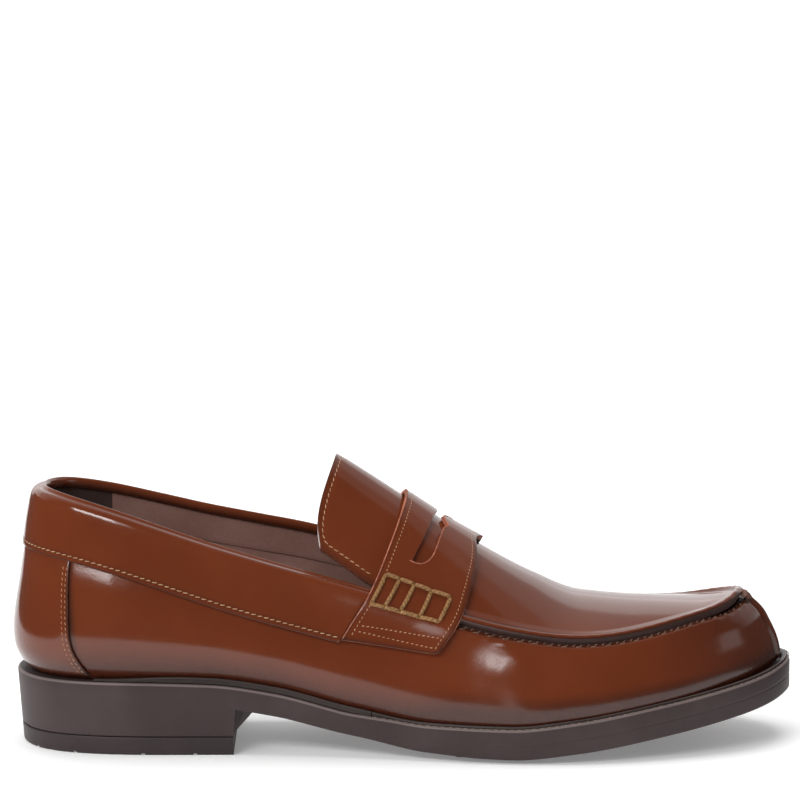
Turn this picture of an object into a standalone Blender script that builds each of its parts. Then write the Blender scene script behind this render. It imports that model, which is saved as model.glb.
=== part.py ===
"""Penny loafer for a right foot, built as the separate pieces that a shoemaker puts together.

X runs from heel to toe, -Y is the outer (lateral) side, +Y the inner (medial) side, +Z is up.
Sizes are in millimetres, or in hundredths of a driving size where a table says so.
Meshes are in metres, with the origin on the floor below the middle of the sole.
"""
from collections import namedtuple
import math

import bmesh
import bpy
import numpy as np

MM = 0.001

# Driving sizes of the shoe
LENGTH = 300.0
BALL_WIDTH = 101.0
BACK_HEIGHT = 97.6
INSTEP_HEIGHT = 114.0
SEAT_HEIGHT = 28.6

# Leather and rubber thicknesses
GAP = 0.3
CLEARANCE = 0.45
STRAP_CLEARANCE = 0.7
UPPER_WALL = 2.2
COUNTER_LEATHER = 0.9
STRAP_LEATHER = 1.9
TONGUE_PADDING = 3.2
INSOLE_THICKNESS = 3.0
WELT_HEIGHT = 2.4
WELT_INSET = 0.9
WELT_BEVEL = 0.5
LIFT_THICKNESS = 7.0
LIFT_ROUND = 0.6

# Sections round the sole's edge, from the heel over the outer side to the toe and back.
# sole_x and top_x are hundredths of LENGTH, sole_y and top_y of BALL_WIDTH, top_z of BACK_HEIGHT.
# feather is how far the upper's lower edge lies inside the sole's edge. out and rise lead the wall
# away from that edge, lead and drop bring it to its top edge. columns counts the steps to the next row.
Section = namedtuple("Section", "name sole_x sole_y feather top_x top_y top_z out rise lead drop columns")
SECTIONS = [
    Section("heel_back", 0.0, 0.0, 5.0, 2.9, 0.0, 100.0, 7.0, 16.0, 6.0, 30.0, 3),
    Section("heel_turn_lateral", 3.0, -22.3, 4.6, 5.0, -16.3, 99.4, 7.5, 16.0, 5.5, 30.0, 4),
    Section("heel_lateral", 12.0, -33.2, 4.2, 12.2, -25.7, 94.3, 7.0, 16.0, 5.0, 26.0, 5),
    Section("heel_front_lateral", 25.0, -34.2, 4.0, 25.3, -28.7, 81.3, 6.0, 15.0, 5.5, 22.0, 4),
    Section("waist_lateral", 37.3, -35.6, 4.0, 37.3, -29.2, 70.5, 6.0, 14.0, 6.5, 18.0, 4),
    Section("instep_lateral", 48.3, -39.6, 4.0, 47.7, -32.2, 61.8, 5.5, 13.0, 6.0, 13.0, 4),
    Section("joint_lateral", 58.3, -45.5, 4.0, 58.7, -36.1, 52.3, 4.5, 12.0, 6.0, 8.0, 4),
    Section("ball_lateral", 67.7, -48.0, 4.0, 68.3, -37.1, 46.9, 4.0, 11.0, 6.5, 6.0, 5),
    Section("fore_lateral", 79.3, -43.6, 4.0, 78.3, -32.7, 47.3, 3.5, 10.0, 6.5, 5.0, 5),
    Section("toe_side_lateral", 90.0, -31.5, 4.0, 87.3, -22.3, 52.7, 3.0, 10.0, 6.5, 4.0, 5),
    Section("toe_turn_lateral", 96.9, -17.3, 4.0, 91.9, -12.4, 56.4, 2.5, 10.0, 7.0, 3.5, 4),
    Section("toe_seam", 99.7, -2.0, 4.0, 93.7, -1.5, 59.0, 2.5, 10.0, 7.0, 3.5, 4),
    Section("toe_turn_medial", 98.1, 21.5, 4.0, 92.5, 15.0, 55.9, 2.5, 10.0, 7.0, 3.5, 5),
    Section("toe_side_medial", 91.3, 36.6, 4.0, 88.0, 27.2, 52.0, 3.0, 10.0, 6.5, 4.0, 5),
    Section("fore_medial", 81.0, 48.0, 4.0, 79.3, 36.6, 49.0, 3.5, 10.0, 6.5, 5.0, 5),
    Section("ball_medial", 71.0, 52.0, 4.0, 69.3, 39.6, 50.2, 4.0, 11.0, 6.5, 6.0, 4),
    Section("joint_medial", 59.3, 45.0, 4.0, 58.7, 37.1, 56.9, 5.5, 13.0, 6.0, 8.0, 4),
    Section("instep_medial", 48.3, 34.2, 4.0, 47.7, 31.7, 69.7, 7.0, 15.0, 6.0, 13.0, 4),
    Section("waist_medial", 37.3, 29.2, 4.0, 37.3, 29.2, 79.1, 8.0, 16.0, 6.5, 18.0, 4),
    Section("heel_front_medial", 25.0, 30.2, 4.0, 25.3, 29.2, 85.9, 7.0, 16.0, 5.5, 22.0, 5),
    Section("heel_medial", 12.0, 32.2, 4.2, 12.2, 25.7, 95.3, 7.0, 16.0, 5.0, 26.0, 4),
    Section("heel_turn_medial", 3.0, 22.3, 4.6, 5.0, 16.3, 99.4, 7.5, 16.0, 5.5, 30.0, 3),
]

# Top face of the sole: x in hundredths of LENGTH, z in hundredths of SEAT_HEIGHT
SEAT = [
    (0.0, 100.0), (13.3, 100.0), (25.0, 97.2), (33.3, 86.0), (43.3, 60.5), (53.3, 43.0),
    (63.3, 41.6), (71.7, 50.7), (81.7, 67.5), (90.0, 81.8), (96.7, 96.2), (100.3, 108.4),
]
# Depth of the sole's side ahead of the heel: x in hundredths of LENGTH
SIDE_DEPTH = [
    (28.0, 8.8), (36.3, 8.8), (45.7, 8.3), (53.3, 9.0),
    (59.3, 10.0), (70.0, 10.5), (80.0, 10.8), (100.3, 10.5),
]
# Crown line of plug and tongue: hundredths of LENGTH, BALL_WIDTH and INSTEP_HEIGHT
CROWN = [
    (39.3, 2.5, 100.0), (42.0, 2.5, 95.6), (50.0, 2.5, 82.0), (59.3, 2.0, 66.3), (66.7, 2.0, 55.6),
    (73.3, 2.0, 48.6), (80.0, 1.5, 47.4), (87.3, 0.5, 47.5), (93.7, -1.5, 50.5),
]
# How far the crown lies ahead of the two edges of a cross row: edge x in hundredths of LENGTH
CROWN_LEAD = [(39.0, 12.5), (45.7, 12.5), (57.2, 6.8), (71.7, 4.0), (80.0, 2.5), (87.3, 1.0), (93.7, 0.0)]

# Upper: rows of its wall, and the rolled seam between wall and plug
WALL_ROWS = (0.0, 0.13, 0.30, 0.47, 0.64, 0.80)
SEAM_ROWS = (3.4, 1.3, 0.0)
WALL_SEAM = {3.4: 0.0, 1.3: -0.5, 0.0: 0.9}
PLUG_SEAM = ((1.7, 0.16, 2.3), (3.4, 0.32, 1.1), (5.2, 0.48, 0.0))
PLUG_INNER_STEPS = 10
TOE_SEAM_OFFSETS = (0.9, 2.2)
TOE_SEAM_ROWS = (0.0, 0.6, 1.0, 1.0, 1.0, 1.0)
TOE_SEAM_LIFT = ((0.0, -0.5), (0.9, 0.9), (2.2, 0.4), (4.0, 0.0))
THROAT_X = 147.5

# Strap over the instep: its edges where they cross the wall's top edge, and its ends down the wall
STRAP_BACK_X = 137.0
STRAP_FRONT_X = 171.5
SEAM_STARTS_X = (STRAP_FRONT_X + 1.0, STRAP_FRONT_X + 9.0)
STRAP_END_BACK = 20.0
STRAP_END_FRONT = 14.5
STRAP_DRIFT = 0.55
SLOT_END = 0.60
SLOT_MIDDLE = 0.46
SLOT_MIDDLE_ENDS = 0.37
SLOT_HALF_ENDS = 0.10
SLOT_HALF_MIDDLE = 0.06
SLOT_ROW = 2
STRAP_BACK_ROW = 0.15
STRAP_FRONT_ROW = 0.78

# Tongue behind the strap: two edges and the crown's x, from under the strap to the free end
TongueRow = namedtuple("TongueRow", "place edge_x lateral_y lateral_z medial_y medial_z crown_x")
TONGUE = [
    TongueRow(0.0, 147.1, -30.2, 62.2, 30.6, 69.2, 158.6),
    TongueRow(0.33, 137.0, -28.6, 67.8, 29.4, 74.2, 149.0),
    TongueRow(0.66, 127.0, -27.0, 76.6, 28.0, 81.2, 137.5),
    TongueRow(1.0, 112.2, -24.5, 87.8, 25.0, 90.6, 123.4),
]
TONGUE_ROWS = 9
TONGUE_CORNER = 0.08
TONGUE_CORNER_POWER = 9

# Collar band and heel counter
# Each row places both sides of the band: below the wall's top edge, and off the wall's face.
BandStep = namedtuple("BandStep", "outer_below outer_offset inner_below inner_offset")
BAND = [
    BandStep(21.0, 1.0, 21.0, CLEARANCE),
    BandStep(19.4, 1.8, 19.4, CLEARANCE),
    BandStep(10.5, 2.2, 10.5, CLEARANCE),
    BandStep(2.0, 2.2, 2.0, CLEARANCE),
    BandStep(-1.9, 1.2, -CLEARANCE, 0.3),
    BandStep(-2.9, -1.1, -CLEARANCE, -1.1),
    BandStep(-1.9, -3.4, -CLEARANCE, -2.5),
    BandStep(1.5, -4.2, 1.5, -UPPER_WALL - CLEARANCE),
    BandStep(6.0, -3.9, 6.0, -UPPER_WALL - CLEARANCE),
]
BAND_COLUMNS = 43
COUNTER_FOOT = 0.045
COUNTER_TOP = 0.7
COUNTER_ROWS = 8
COUNTER_COLUMNS = 19
CounterEdge = namedtuple("CounterEdge", "share sole_x")
COUNTER_EDGE = [CounterEdge(0.0, 30.0), CounterEdge(0.3, 23.0), CounterEdge(0.8, 21.0)]

# Sole unit: side profile, heel block and tread
EDGE_CHAMFER = 0.7
SIDE_GROOVE_DROP = 4.7
SIDE_GROOVE_DEPTH = 0.7
SIDE_GROOVE_HALF = 0.45
SIDE_GROOVE_STARTS_X = (132.0, 146.0)
BOTTOM_ROUND = 0.9
HEEL_TAPER = 0.075
BREAST_X = 85.0
BREAST_STEP = 0.4
BREAST_RAMP = 11.0
RAMP_FADE = 20.0
LEAST_STEP = 1.5
MARK_ROOM = 4.0
WELT_JOINT_X = 137.3
RAND_START_X = 31.0
ACROSS = (-1.0, -0.80, -0.30, -0.22, 0.22, 0.30, 0.80, 1.0)
LUG_CELLS = (1, 3, 5)
LUG_FIRST_X = 150.0
LUG_LENGTH = 10.0
LUG_PITCH = 14.0
LUG_COUNT = 8
LUG_HEIGHT = 1.65
LUG_DRAFT = 0.95
CONTACT_FROM_X = 170.0
CONTACT_TO_X = 204.0


class ClosedSpline:
    """Periodic cubic spline through rows of values."""

    def __init__(self, knots, rows, period):
        """Solve the second derivatives at the knots."""
        self.knots = np.asarray(knots, float)
        self.rows = np.asarray(rows, float)
        self.period = period
        count = len(self.knots)
        self.spans = np.diff(np.append(self.knots, self.knots[0] + period))
        matrix = np.zeros((count, count))
        right = np.zeros_like(self.rows)
        for i in range(count):
            before, after = (i - 1) % count, (i + 1) % count
            near, far = self.spans[before], self.spans[i]
            matrix[i, before] += near
            matrix[i, i] += 2.0 * (near + far)
            matrix[i, after] += far
            rise = (self.rows[after] - self.rows[i]) / far
            right[i] = 6.0 * (rise - (self.rows[i] - self.rows[before]) / near)
        self.bends = np.linalg.solve(matrix, right)

    def __call__(self, place):
        """Values at one place or an array of places."""
        place = np.mod(np.asarray(place, float), self.period)
        i = np.clip(np.searchsorted(self.knots, place, side="right") - 1, 0, len(self.knots) - 1)
        j = (i + 1) % len(self.knots)
        span = self.spans[i][..., None]
        b = (place - self.knots[i])[..., None] / span
        a = 1.0 - b
        bend = (a ** 3 - a) * self.bends[i] + (b ** 3 - b) * self.bends[j]
        return a * self.rows[i] + b * self.rows[j] + bend * span ** 2 / 6.0


def smooth_table(rows):
    """Return a curve through rows of (place, values) that doesn't overshoot between them."""
    table = np.asarray(rows, float)
    places, values = table[:, 0], table[:, 1:]
    spans = np.diff(places)[:, None]
    slopes = np.diff(values, axis=0) / spans
    tangents = np.zeros_like(values)
    tangents[0], tangents[-1] = slopes[0], slopes[-1]
    for i in range(1, len(places) - 1):
        same_way = slopes[i - 1] * slopes[i] > 0.0
        first, second = 2.0 * spans[i] + spans[i - 1], spans[i] + 2.0 * spans[i - 1]
        before = np.where(same_way, slopes[i - 1], 1.0)
        after = np.where(same_way, slopes[i], 1.0)
        tangents[i] = np.where(same_way, (first + second) / (first / before + second / after), 0.0)

    def curve(place):
        place = np.clip(np.asarray(place, float), places[0], places[-1])
        i = np.clip(np.searchsorted(places, place, side="right") - 1, 0, len(places) - 2)
        span = (places[i + 1] - places[i])[..., None]
        s = (place - places[i])[..., None] / span
        start = (1.0 + 2.0 * s) * (1.0 - s) ** 2 * values[i] + s * (1.0 - s) ** 2 * span * tangents[i]
        end = s * s * (3.0 - 2.0 * s) * values[i + 1] + s * s * (s - 1.0) * span * tangents[i + 1]
        result = start + end
        return result[..., 0] if values.shape[1] == 1 else result

    return curve


def scaled(rows, *sizes):
    """Turn a table of hundredths into millimetres, one driving size for each column."""
    return [[value * size / 100.0 for value, size in zip(row, sizes)] for row in rows]


def section_values(section):
    """One section's numbers in millimetres."""
    sole = scaled([section[1:3]], LENGTH, BALL_WIDTH)[0]
    top = scaled([section[4:7]], LENGTH, BALL_WIDTH, BACK_HEIGHT)[0]
    return [*sole, section.feather, *top, section.out, section.rise, section.lead, section.drop]


RIM_ROWS = np.array([section_values(section) for section in SECTIONS])
RIM_STEPS = np.linalg.norm(RIM_ROWS[:, :2] - np.roll(RIM_ROWS[:, :2], -1, axis=0), axis=1)
RIM_KNOTS = np.append(0.0, np.cumsum(RIM_STEPS)[:-1])
GIRTH = RIM_STEPS.sum()
RIM = ClosedSpline(RIM_KNOTS, RIM_ROWS, GIRTH)
TOE = [section.name for section in SECTIONS].index("toe_seam")
TOE_PLACE = RIM_KNOTS[TOE]

seat = smooth_table(scaled(SEAT, LENGTH, SEAT_HEIGHT))
side_depth = smooth_table(scaled(SIDE_DEPTH, LENGTH, 100.0))
crown = smooth_table(scaled(CROWN, LENGTH, BALL_WIDTH, INSTEP_HEIGHT))
crown_lead = smooth_table(scaled(CROWN_LEAD, LENGTH, 100.0))


def outline(place, inset):
    """Sole outline at places round the rim, moved inwards, with its outward direction."""
    step = 0.05
    place = np.asarray(place, float)
    along = RIM(place + step)[..., :2] - RIM(place - step)[..., :2]
    along /= np.linalg.norm(along, axis=-1, keepdims=True)
    outward = np.stack([along[..., 1], -along[..., 0]], axis=-1)
    return RIM(place)[..., :2] - outward * np.asarray(inset)[..., None], outward


def wall(place, share):
    """Outer face of the upper's wall: share 0 is its lower edge, 1 its top edge."""
    place, share = np.broadcast_arrays(np.asarray(place, float), np.asarray(share, float))
    row = RIM(place)
    foot, outward = outline(place, row[..., 2])
    low = np.concatenate([foot, (seat(foot[..., 0]) + GAP)[..., None]], axis=-1)
    outward = np.concatenate([outward, np.zeros_like(outward[..., :1])], axis=-1)
    up = np.array([0.0, 0.0, 1.0])
    top = row[..., 3:6]
    low_pull = low + row[..., 6:7] * outward + row[..., 7:8] * up
    top_pull = top + row[..., 8:9] * outward - row[..., 9:10] * up
    t = share[..., None]
    lower = (1.0 - t) ** 3 * low + 3.0 * t * (1.0 - t) ** 2 * low_pull
    return lower + 3.0 * t * t * (1.0 - t) * top_pull + t ** 3 * top


def wall_frame(place, share):
    """Outward normal of the wall and its upward direction."""
    step, rise = 0.3, 0.01
    share = np.asarray(share, float)
    along = wall(place + step, share) - wall(place - step, share)
    upward = wall(place, np.minimum(share + rise, 1.0)) - wall(place, np.maximum(share - rise, 0.0))
    normal = np.cross(along, upward)
    normal /= np.linalg.norm(normal, axis=-1, keepdims=True)
    return normal, upward / np.linalg.norm(upward, axis=-1, keepdims=True)


def share_below_top(place, distance):
    """Share of the wall's height that lies a distance below its top edge."""
    shares = np.linspace(1.0, 0.0, 61)
    points = wall(np.full(shares.shape, place), shares)
    lengths = np.append(0.0, np.cumsum(np.linalg.norm(np.diff(points, axis=0), axis=1)))
    return np.interp(distance, lengths, shares)


def side_places(side, count=600):
    """Places along one side from the heel to the toe seam, side -1 lateral and +1 medial."""
    return np.linspace(0.0 if side < 0 else GIRTH, TOE_PLACE, count)


def place_at(side, x, top=False):
    """Place on one side where the sole's edge, or the wall's top edge, reaches x."""
    places = side_places(side)
    reached = np.maximum.accumulate(RIM(places)[:, 3 if top else 0])
    return np.interp(x, reached, places)


def side_columns(side, extra):
    """Places of one side's columns, from the heel's back to the toe seam."""
    lateral = RIM_KNOTS[:TOE + 1]
    medial = np.append(GIRTH, RIM_KNOTS[:TOE - 1:-1])
    knots = lateral if side < 0 else medial
    places = [knots[0]]
    for start, end, section in zip(knots, knots[1:], SECTIONS):
        places.extend(np.linspace(start, end, section.columns + 1)[1:])
    places.extend(extra)
    return np.array(sorted(places, reverse=side > 0))


def cross_row(lateral, medial, top, across):
    """Arched row from one edge point over the crown to the other edge point."""
    across = np.asarray(across)[:, None]
    middle = (lateral + medial) / 2.0
    return top + across * (medial - lateral) / 2.0 + across ** 2 * (middle - top)


def instep_row(edge_x, across):
    """Row over the instep whose two edges lie on the wall's top edges at edge_x."""
    lateral = wall(place_at(-1, edge_x, True), 1.0)
    medial = wall(place_at(1, edge_x, True), 1.0)
    return cross_row(lateral, medial, crown_point(edge_x), across)


def crown_point(edge_x):
    """Crown of the row whose edges lie at edge_x."""
    x = edge_x + crown_lead(edge_x)
    return np.append(x, crown(x))


def shoe_origin():
    """Floor point below the middle of the sole's outline."""
    edge, _ = outline(np.linspace(0.0, GIRTH, 2000), 0.0)
    middle = (edge.min(axis=0) + edge.max(axis=0)) / 2.0
    return np.append(middle, 0.0)


ORIGIN = shoe_origin()


def to_metres(points):
    """Move points from the last's frame in millimetres to the shoe's frame in metres."""
    return (np.asarray(points) - ORIGIN) * MM


def surface_material(name, colour, roughness):
    """Principled material with one colour and roughness."""
    material = bpy.data.materials.new(name)
    material.use_nodes = True
    shader = material.node_tree.nodes["Principled BSDF"]
    shader.inputs["Base Color"].default_value = (*colour, 1.0)
    shader.inputs["Roughness"].default_value = roughness
    shader.inputs["Metallic"].default_value = 0.0
    return material


def draw_out(shape, faces):
    """Extrude a region of faces with none left behind it, and return its new faces and corners."""
    edges = {edge for face in faces for edge in face.edges}
    grown = bmesh.ops.extrude_face_region(shape, geom=[*faces, *edges])["geom"]
    cap = [item for item in grown if isinstance(item, bmesh.types.BMFace)]
    return cap, [item for item in grown if isinstance(item, bmesh.types.BMVert)]


def layered_solid(name, faces, layers, material, detail=None):
    """Closed solid: a sheet of faces drawn through successive layers of points."""
    shape = bmesh.new()
    number = shape.verts.layers.int.new("number")
    first = to_metres(layers[0])
    corners = [shape.verts.new(point) for point in first]
    for index, corner in enumerate(corners):
        corner[number] = index
    for face in faces:
        shape.faces.new([corners[index] for index in face])
    cap = shape.faces[:]
    for layer in layers[1:]:
        points = to_metres(layer)
        cap, corners = draw_out(shape, cap)
        for corner in corners:
            corner.co = points[corner[number]]
    if detail:
        detail(shape, cap, number)
    bmesh.ops.recalc_face_normals(shape, faces=shape.faces[:])
    mesh = bpy.data.meshes.new(name)
    shape.to_mesh(mesh)
    shape.free()
    mesh.materials.append(material)
    mesh.shade_smooth()
    mesh.set_sharp_from_angle(angle=math.radians(35.0))
    piece = bpy.data.objects.new(name, mesh)
    bpy.context.scene.collection.objects.link(piece)
    return piece


def sheet_normals(points, faces):
    """Outward normal at each point of a sheet."""
    shape = bmesh.new()
    corners = [shape.verts.new(point) for point in points]
    for face in faces:
        shape.faces.new([corners[index] for index in face])
    shape.normal_update()
    normals = np.array([corner.normal[:] for corner in corners])
    shape.free()
    return normals


def grid_faces(rows, columns):
    """Faces of a grid whose points run row by row."""
    faces = []
    for row in range(rows - 1):
        for column in range(columns - 1):
            corner = row * columns + column
            faces.append((corner, corner + columns, corner + columns + 1, corner + 1))
    return faces


def cross_faces(rows, across, toe):
    """Faces of a plate whose rows cross the shoe, with one point at the heel and at its toe."""
    full = rows - 2 if toe else rows - 1
    faces = [(0, 1 + column, 2 + column) for column in range(across - 1)]
    faces += [tuple(1 + index for index in face) for face in grid_faces(full, across)]
    if toe:
        last = 1 + (full - 1) * across
        faces += [(last + column, last + across, last + column + 1) for column in range(across - 1)]
    return faces


def cross_points(lateral, medial, across, toe):
    """Points of such a plate between its two edges."""
    shares = (np.asarray(across) + 1.0)[:, None] / 2.0
    inner = slice(1, -1) if toe else slice(1, None)
    points = [lateral[:1]]
    for start, end in zip(lateral[inner], medial[inner]):
        points.append(start + (end - start) * shares)
    if toe:
        points.append(lateral[-1:])
    return np.vstack(points)


def edge_line(places, inset, height):
    """Points on the sole's outline, moved inwards, with their height worked out from x."""
    flat, _ = outline(places, inset)
    return np.column_stack([flat, height(flat[:, 0])])


def smooth_step(low, high, value):
    """Soft step from 0 at low to 1 at high."""
    s = np.clip((np.asarray(value, float) - low) / (high - low), 0.0, 1.0)
    return s * s * (3.0 - 2.0 * s)


def build_upper(material):
    """Hollow upper: wall and plug in one sheet, with the rolled plug seam and the toe seam raised."""
    throat_place = {side: place_at(side, THROAT_X, True) for side in (-1, 1)}
    lateral, medial = (
        side_columns(side, [throat_place[side], *(TOE_PLACE + side * step for step in TOE_SEAM_OFFSETS)])
        for side in (-1, 1)
    )
    toe = len(lateral) - 1
    ring = np.concatenate([lateral, medial[-2:0:-1]])
    rows = len(WALL_ROWS) + len(SEAM_ROWS)
    points, lifts = [], []
    for place in ring:
        shares = np.append(WALL_ROWS, [share_below_top(place, distance) for distance in SEAM_ROWS])
        points.append(wall(np.full(rows, place), shares))
        raised = smooth_step(*SEAM_STARTS_X, RIM(place)[3])
        seam = np.interp(abs(place - TOE_PLACE), *zip(*TOE_SEAM_LIFT))
        rolled = [raised * WALL_SEAM[distance] for distance in SEAM_ROWS]
        lifts.append(np.append(seam * np.array(TOE_SEAM_ROWS), rolled))
    points, lifts = list(np.vstack(points)), list(np.concatenate(lifts))
    faces = []
    for column in range(len(ring)):
        after = (column + 1) % len(ring)
        for row in range(rows - 1):
            low, next_low = column * rows + row, after * rows + row
            faces.append((low, next_low, next_low + 1, low + 1))
    throat = int(np.argmin(abs(lateral - throat_place[-1])))
    plug = []
    for column in range(throat, toe):
        ends = (column * rows + rows - 1, (2 * toe - column) * rows + rows - 1)
        left, right = points[ends[0]], points[ends[1]]
        edge_x = (left[0] + right[0]) / 2.0
        half = np.linalg.norm(right - left) / 2.0
        raised = smooth_step(*SEAM_STARTS_X, edge_x)
        rim = [1.0 - min(distance / half, most) for distance, most, _ in PLUG_SEAM]
        inner = np.linspace(-rim[-1], rim[-1], PLUG_INNER_STEPS + 1)[1:-1]
        across = [*(-value for value in rim), *inner, *rim[::-1]]
        row_points = cross_row(left, right, crown_point(edge_x), across)
        rim_lift = [raised * lift for _, _, lift in PLUG_SEAM]
        first = len(points)
        points.extend(row_points)
        lifts.extend(rim_lift + [0.0] * (PLUG_INNER_STEPS - 1) + rim_lift[::-1])
        plug.append([ends[0], *range(first, first + len(across)), ends[1]])
    for row, after in zip(plug, plug[1:]):
        for column in range(len(row) - 1):
            faces.append((row[column], after[column], after[column + 1], row[column + 1]))
    tip = toe * rows + rows - 1
    faces += [(plug[-1][column], tip, plug[-1][column + 1]) for column in range(len(plug[-1]) - 1)]
    points, lifts = np.array(points), np.array(lifts)
    normals = sheet_normals(points, faces)
    layers = [points + normals * lifts[:, None], points - normals * UPPER_WALL]
    return layered_solid("upper", faces, layers, material)


def strap_shares(across):
    """Rows of the strap from its back edge to its front edge, with the slot's two edges among them."""
    part = min(abs(across) / SLOT_END, 1.0)
    middle = SLOT_MIDDLE + part * (SLOT_MIDDLE_ENDS - SLOT_MIDDLE)
    half = SLOT_HALF_MIDDLE + part * (SLOT_HALF_ENDS - SLOT_HALF_MIDDLE)
    return [0.0, STRAP_BACK_ROW, middle - half, middle + half, STRAP_FRONT_ROW, 1.0]


def strap_point(side, share, reach):
    """Point of the strap's end on one side's wall, a share of the way down to its lower edge."""
    edge_x = STRAP_BACK_X + share * (STRAP_FRONT_X - STRAP_BACK_X)
    down = reach * (STRAP_END_BACK + share * (STRAP_END_FRONT - STRAP_END_BACK))
    place = place_at(side, edge_x - STRAP_DRIFT * down, True)
    return wall(place, share_below_top(place, down))


def build_strap(material):
    """Saddle strap over the instep, with its slot, lying on wall, plug and tongue."""
    ends = [(-1, 1.0), (-1, 0.66), (-1, 0.33)]
    half_over = np.linspace(SLOT_END, 0.0, 5)[:-1]
    over = np.concatenate([np.linspace(1.0, SLOT_END, 4)[:-1], half_over])
    across = np.concatenate([-over, [0.0], over[::-1]])
    lines = []
    for side, reach in ends:
        lines.append([strap_point(side, share, reach) for share in strap_shares(1.0)])
    for value in across:
        edges = [STRAP_BACK_X + share * (STRAP_FRONT_X - STRAP_BACK_X) for share in strap_shares(value)]
        lines.append([instep_row(edge_x, [value])[0] for edge_x in edges])
    for side, reach in reversed(ends):
        lines.append([strap_point(-side, share, reach) for share in strap_shares(1.0)])
    grid = np.array(lines).transpose(1, 0, 2)
    rows, columns = grid.shape[:2]
    middles = (across[:-1] + across[1:]) / 2.0
    slot_columns = len(ends) + np.flatnonzero(abs(middles) < SLOT_END)
    open_cells = {SLOT_ROW * columns + column for column in slot_columns}
    faces = [face for face in grid_faces(rows, columns) if face[0] not in open_cells]
    points = grid.reshape(-1, 3)
    normals = sheet_normals(points, grid_faces(rows, columns))
    layers = [points + normals * (STRAP_CLEARANCE + STRAP_LEATHER), points + normals * STRAP_CLEARANCE]
    return layered_solid("strap", faces, layers, material)


def build_tongue(material):
    """Tongue that butts against the plug under the strap and stands free behind it."""
    route = smooth_table(TONGUE)
    across = np.linspace(-1.0, 1.0, 15)
    points = np.zeros((TONGUE_ROWS, len(across), 3))
    for column, value in enumerate(across):
        reach = 1.0 - TONGUE_CORNER * abs(value) ** TONGUE_CORNER_POWER
        for row, place in enumerate(np.linspace(0.0, reach, TONGUE_ROWS)):
            edge_x, lateral_y, lateral_z, medial_y, medial_z, crown_x = route(place)
            lateral = np.array([edge_x, lateral_y, lateral_z])
            medial = np.array([edge_x, medial_y, medial_z])
            top = np.append(crown_x, crown(crown_x))
            points[row, column] = cross_row(lateral, medial, top, [value])[0]
    points = points[::-1].reshape(-1, 3)
    faces = grid_faces(TONGUE_ROWS, len(across))
    normals = sheet_normals(points, faces)
    return layered_solid("tongue", faces, [points, points - normals * TONGUE_PADDING], material)


def band_section(place_of, share):
    """Section of the collar band: the outer side, then the inner side, from the lower edge over the top."""
    outer = [(step.outer_below, step.outer_offset) for step in BAND]
    inner = [(step.inner_below, step.inner_offset) for step in BAND]
    points = []
    for below, offset in outer + inner:
        place = place_of(share, max(below, 0.0))
        height = share_below_top(place, max(below, 0.0))
        normal, upward = wall_frame(place, height)
        points.append(wall(place, height) + normal * offset + upward * max(-below, 0.0))
    return np.array(points)


def build_collar_band(material):
    """Padded band over the collar's edge, from behind the strap round the heel to the other side."""
    stop = STRAP_BACK_X - CLEARANCE

    def place_of(share, below):
        x = stop - STRAP_DRIFT * below
        start, end = place_at(-1, x, True), place_at(1, x, True) - GIRTH
        return start + (end - start) * share

    layers = [band_section(place_of, share) for share in np.linspace(0.0, 1.0, BAND_COLUMNS)]
    faces = [(step, step + 1, len(BAND) + step + 1, len(BAND) + step) for step in range(len(BAND) - 1)]
    return layered_solid("collar_band", faces, layers, material)


def build_counter(material):
    """Heel counter between the sole and the collar band, cut from the wall's own face."""
    edges = smooth_table(COUNTER_EDGE)
    points = np.zeros((COUNTER_ROWS, COUNTER_COLUMNS, 3))
    top_gap = BAND[0].outer_below + CLEARANCE
    for row, part in enumerate(np.linspace(0.0, 1.0, COUNTER_ROWS)):
        rough = COUNTER_FOOT + part * (COUNTER_TOP - COUNTER_FOOT)
        start, end = place_at(-1, edges(rough)), place_at(1, edges(rough)) - GIRTH
        for column, place in enumerate(np.linspace(end, start, COUNTER_COLUMNS)):
            top = share_below_top(place, top_gap)
            points[row, column] = wall(place, COUNTER_FOOT + part * (top - COUNTER_FOOT))
    points = points.reshape(-1, 3)
    faces = [face[::-1] for face in grid_faces(COUNTER_ROWS, COUNTER_COLUMNS)]
    normals = sheet_normals(points, faces)
    layers = [points + normals * (CLEARANCE + COUNTER_LEATHER), points + normals * CLEARANCE]
    return layered_solid("counter", faces, layers, material)


def welt_section(place):
    """Section of the welt on the sole's rim, against the foot of the upper's wall."""
    row = RIM(place)
    lean = row[6] / row[7] * (WELT_HEIGHT - GAP)
    inner = row[2] - CLEARANCE
    corners = [
        (inner, GAP), (WELT_INSET, GAP), (WELT_INSET, WELT_HEIGHT - WELT_BEVEL),
        (WELT_INSET + WELT_BEVEL, WELT_HEIGHT), (inner - lean, WELT_HEIGHT),
    ]
    points = []
    for inset, height in corners:
        flat, _ = outline(place, inset)
        points.append(np.append(flat, seat(flat[0]) + height))
    return np.array(points)


def build_welt(name, places, material):
    """Strip of welt along places round the rim."""
    return layered_solid(name, [(0, 1, 2, 3, 4)], [welt_section(place) for place in places], material)


def between(columns, start, end):
    """Columns strictly between two places, with the two places as ends."""
    low, high = min(start, end), max(start, end)
    inner = [place for place in columns if low + LEAST_STEP < place < high - LEAST_STEP]
    return np.array([low, *sorted(inner), high])


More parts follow.
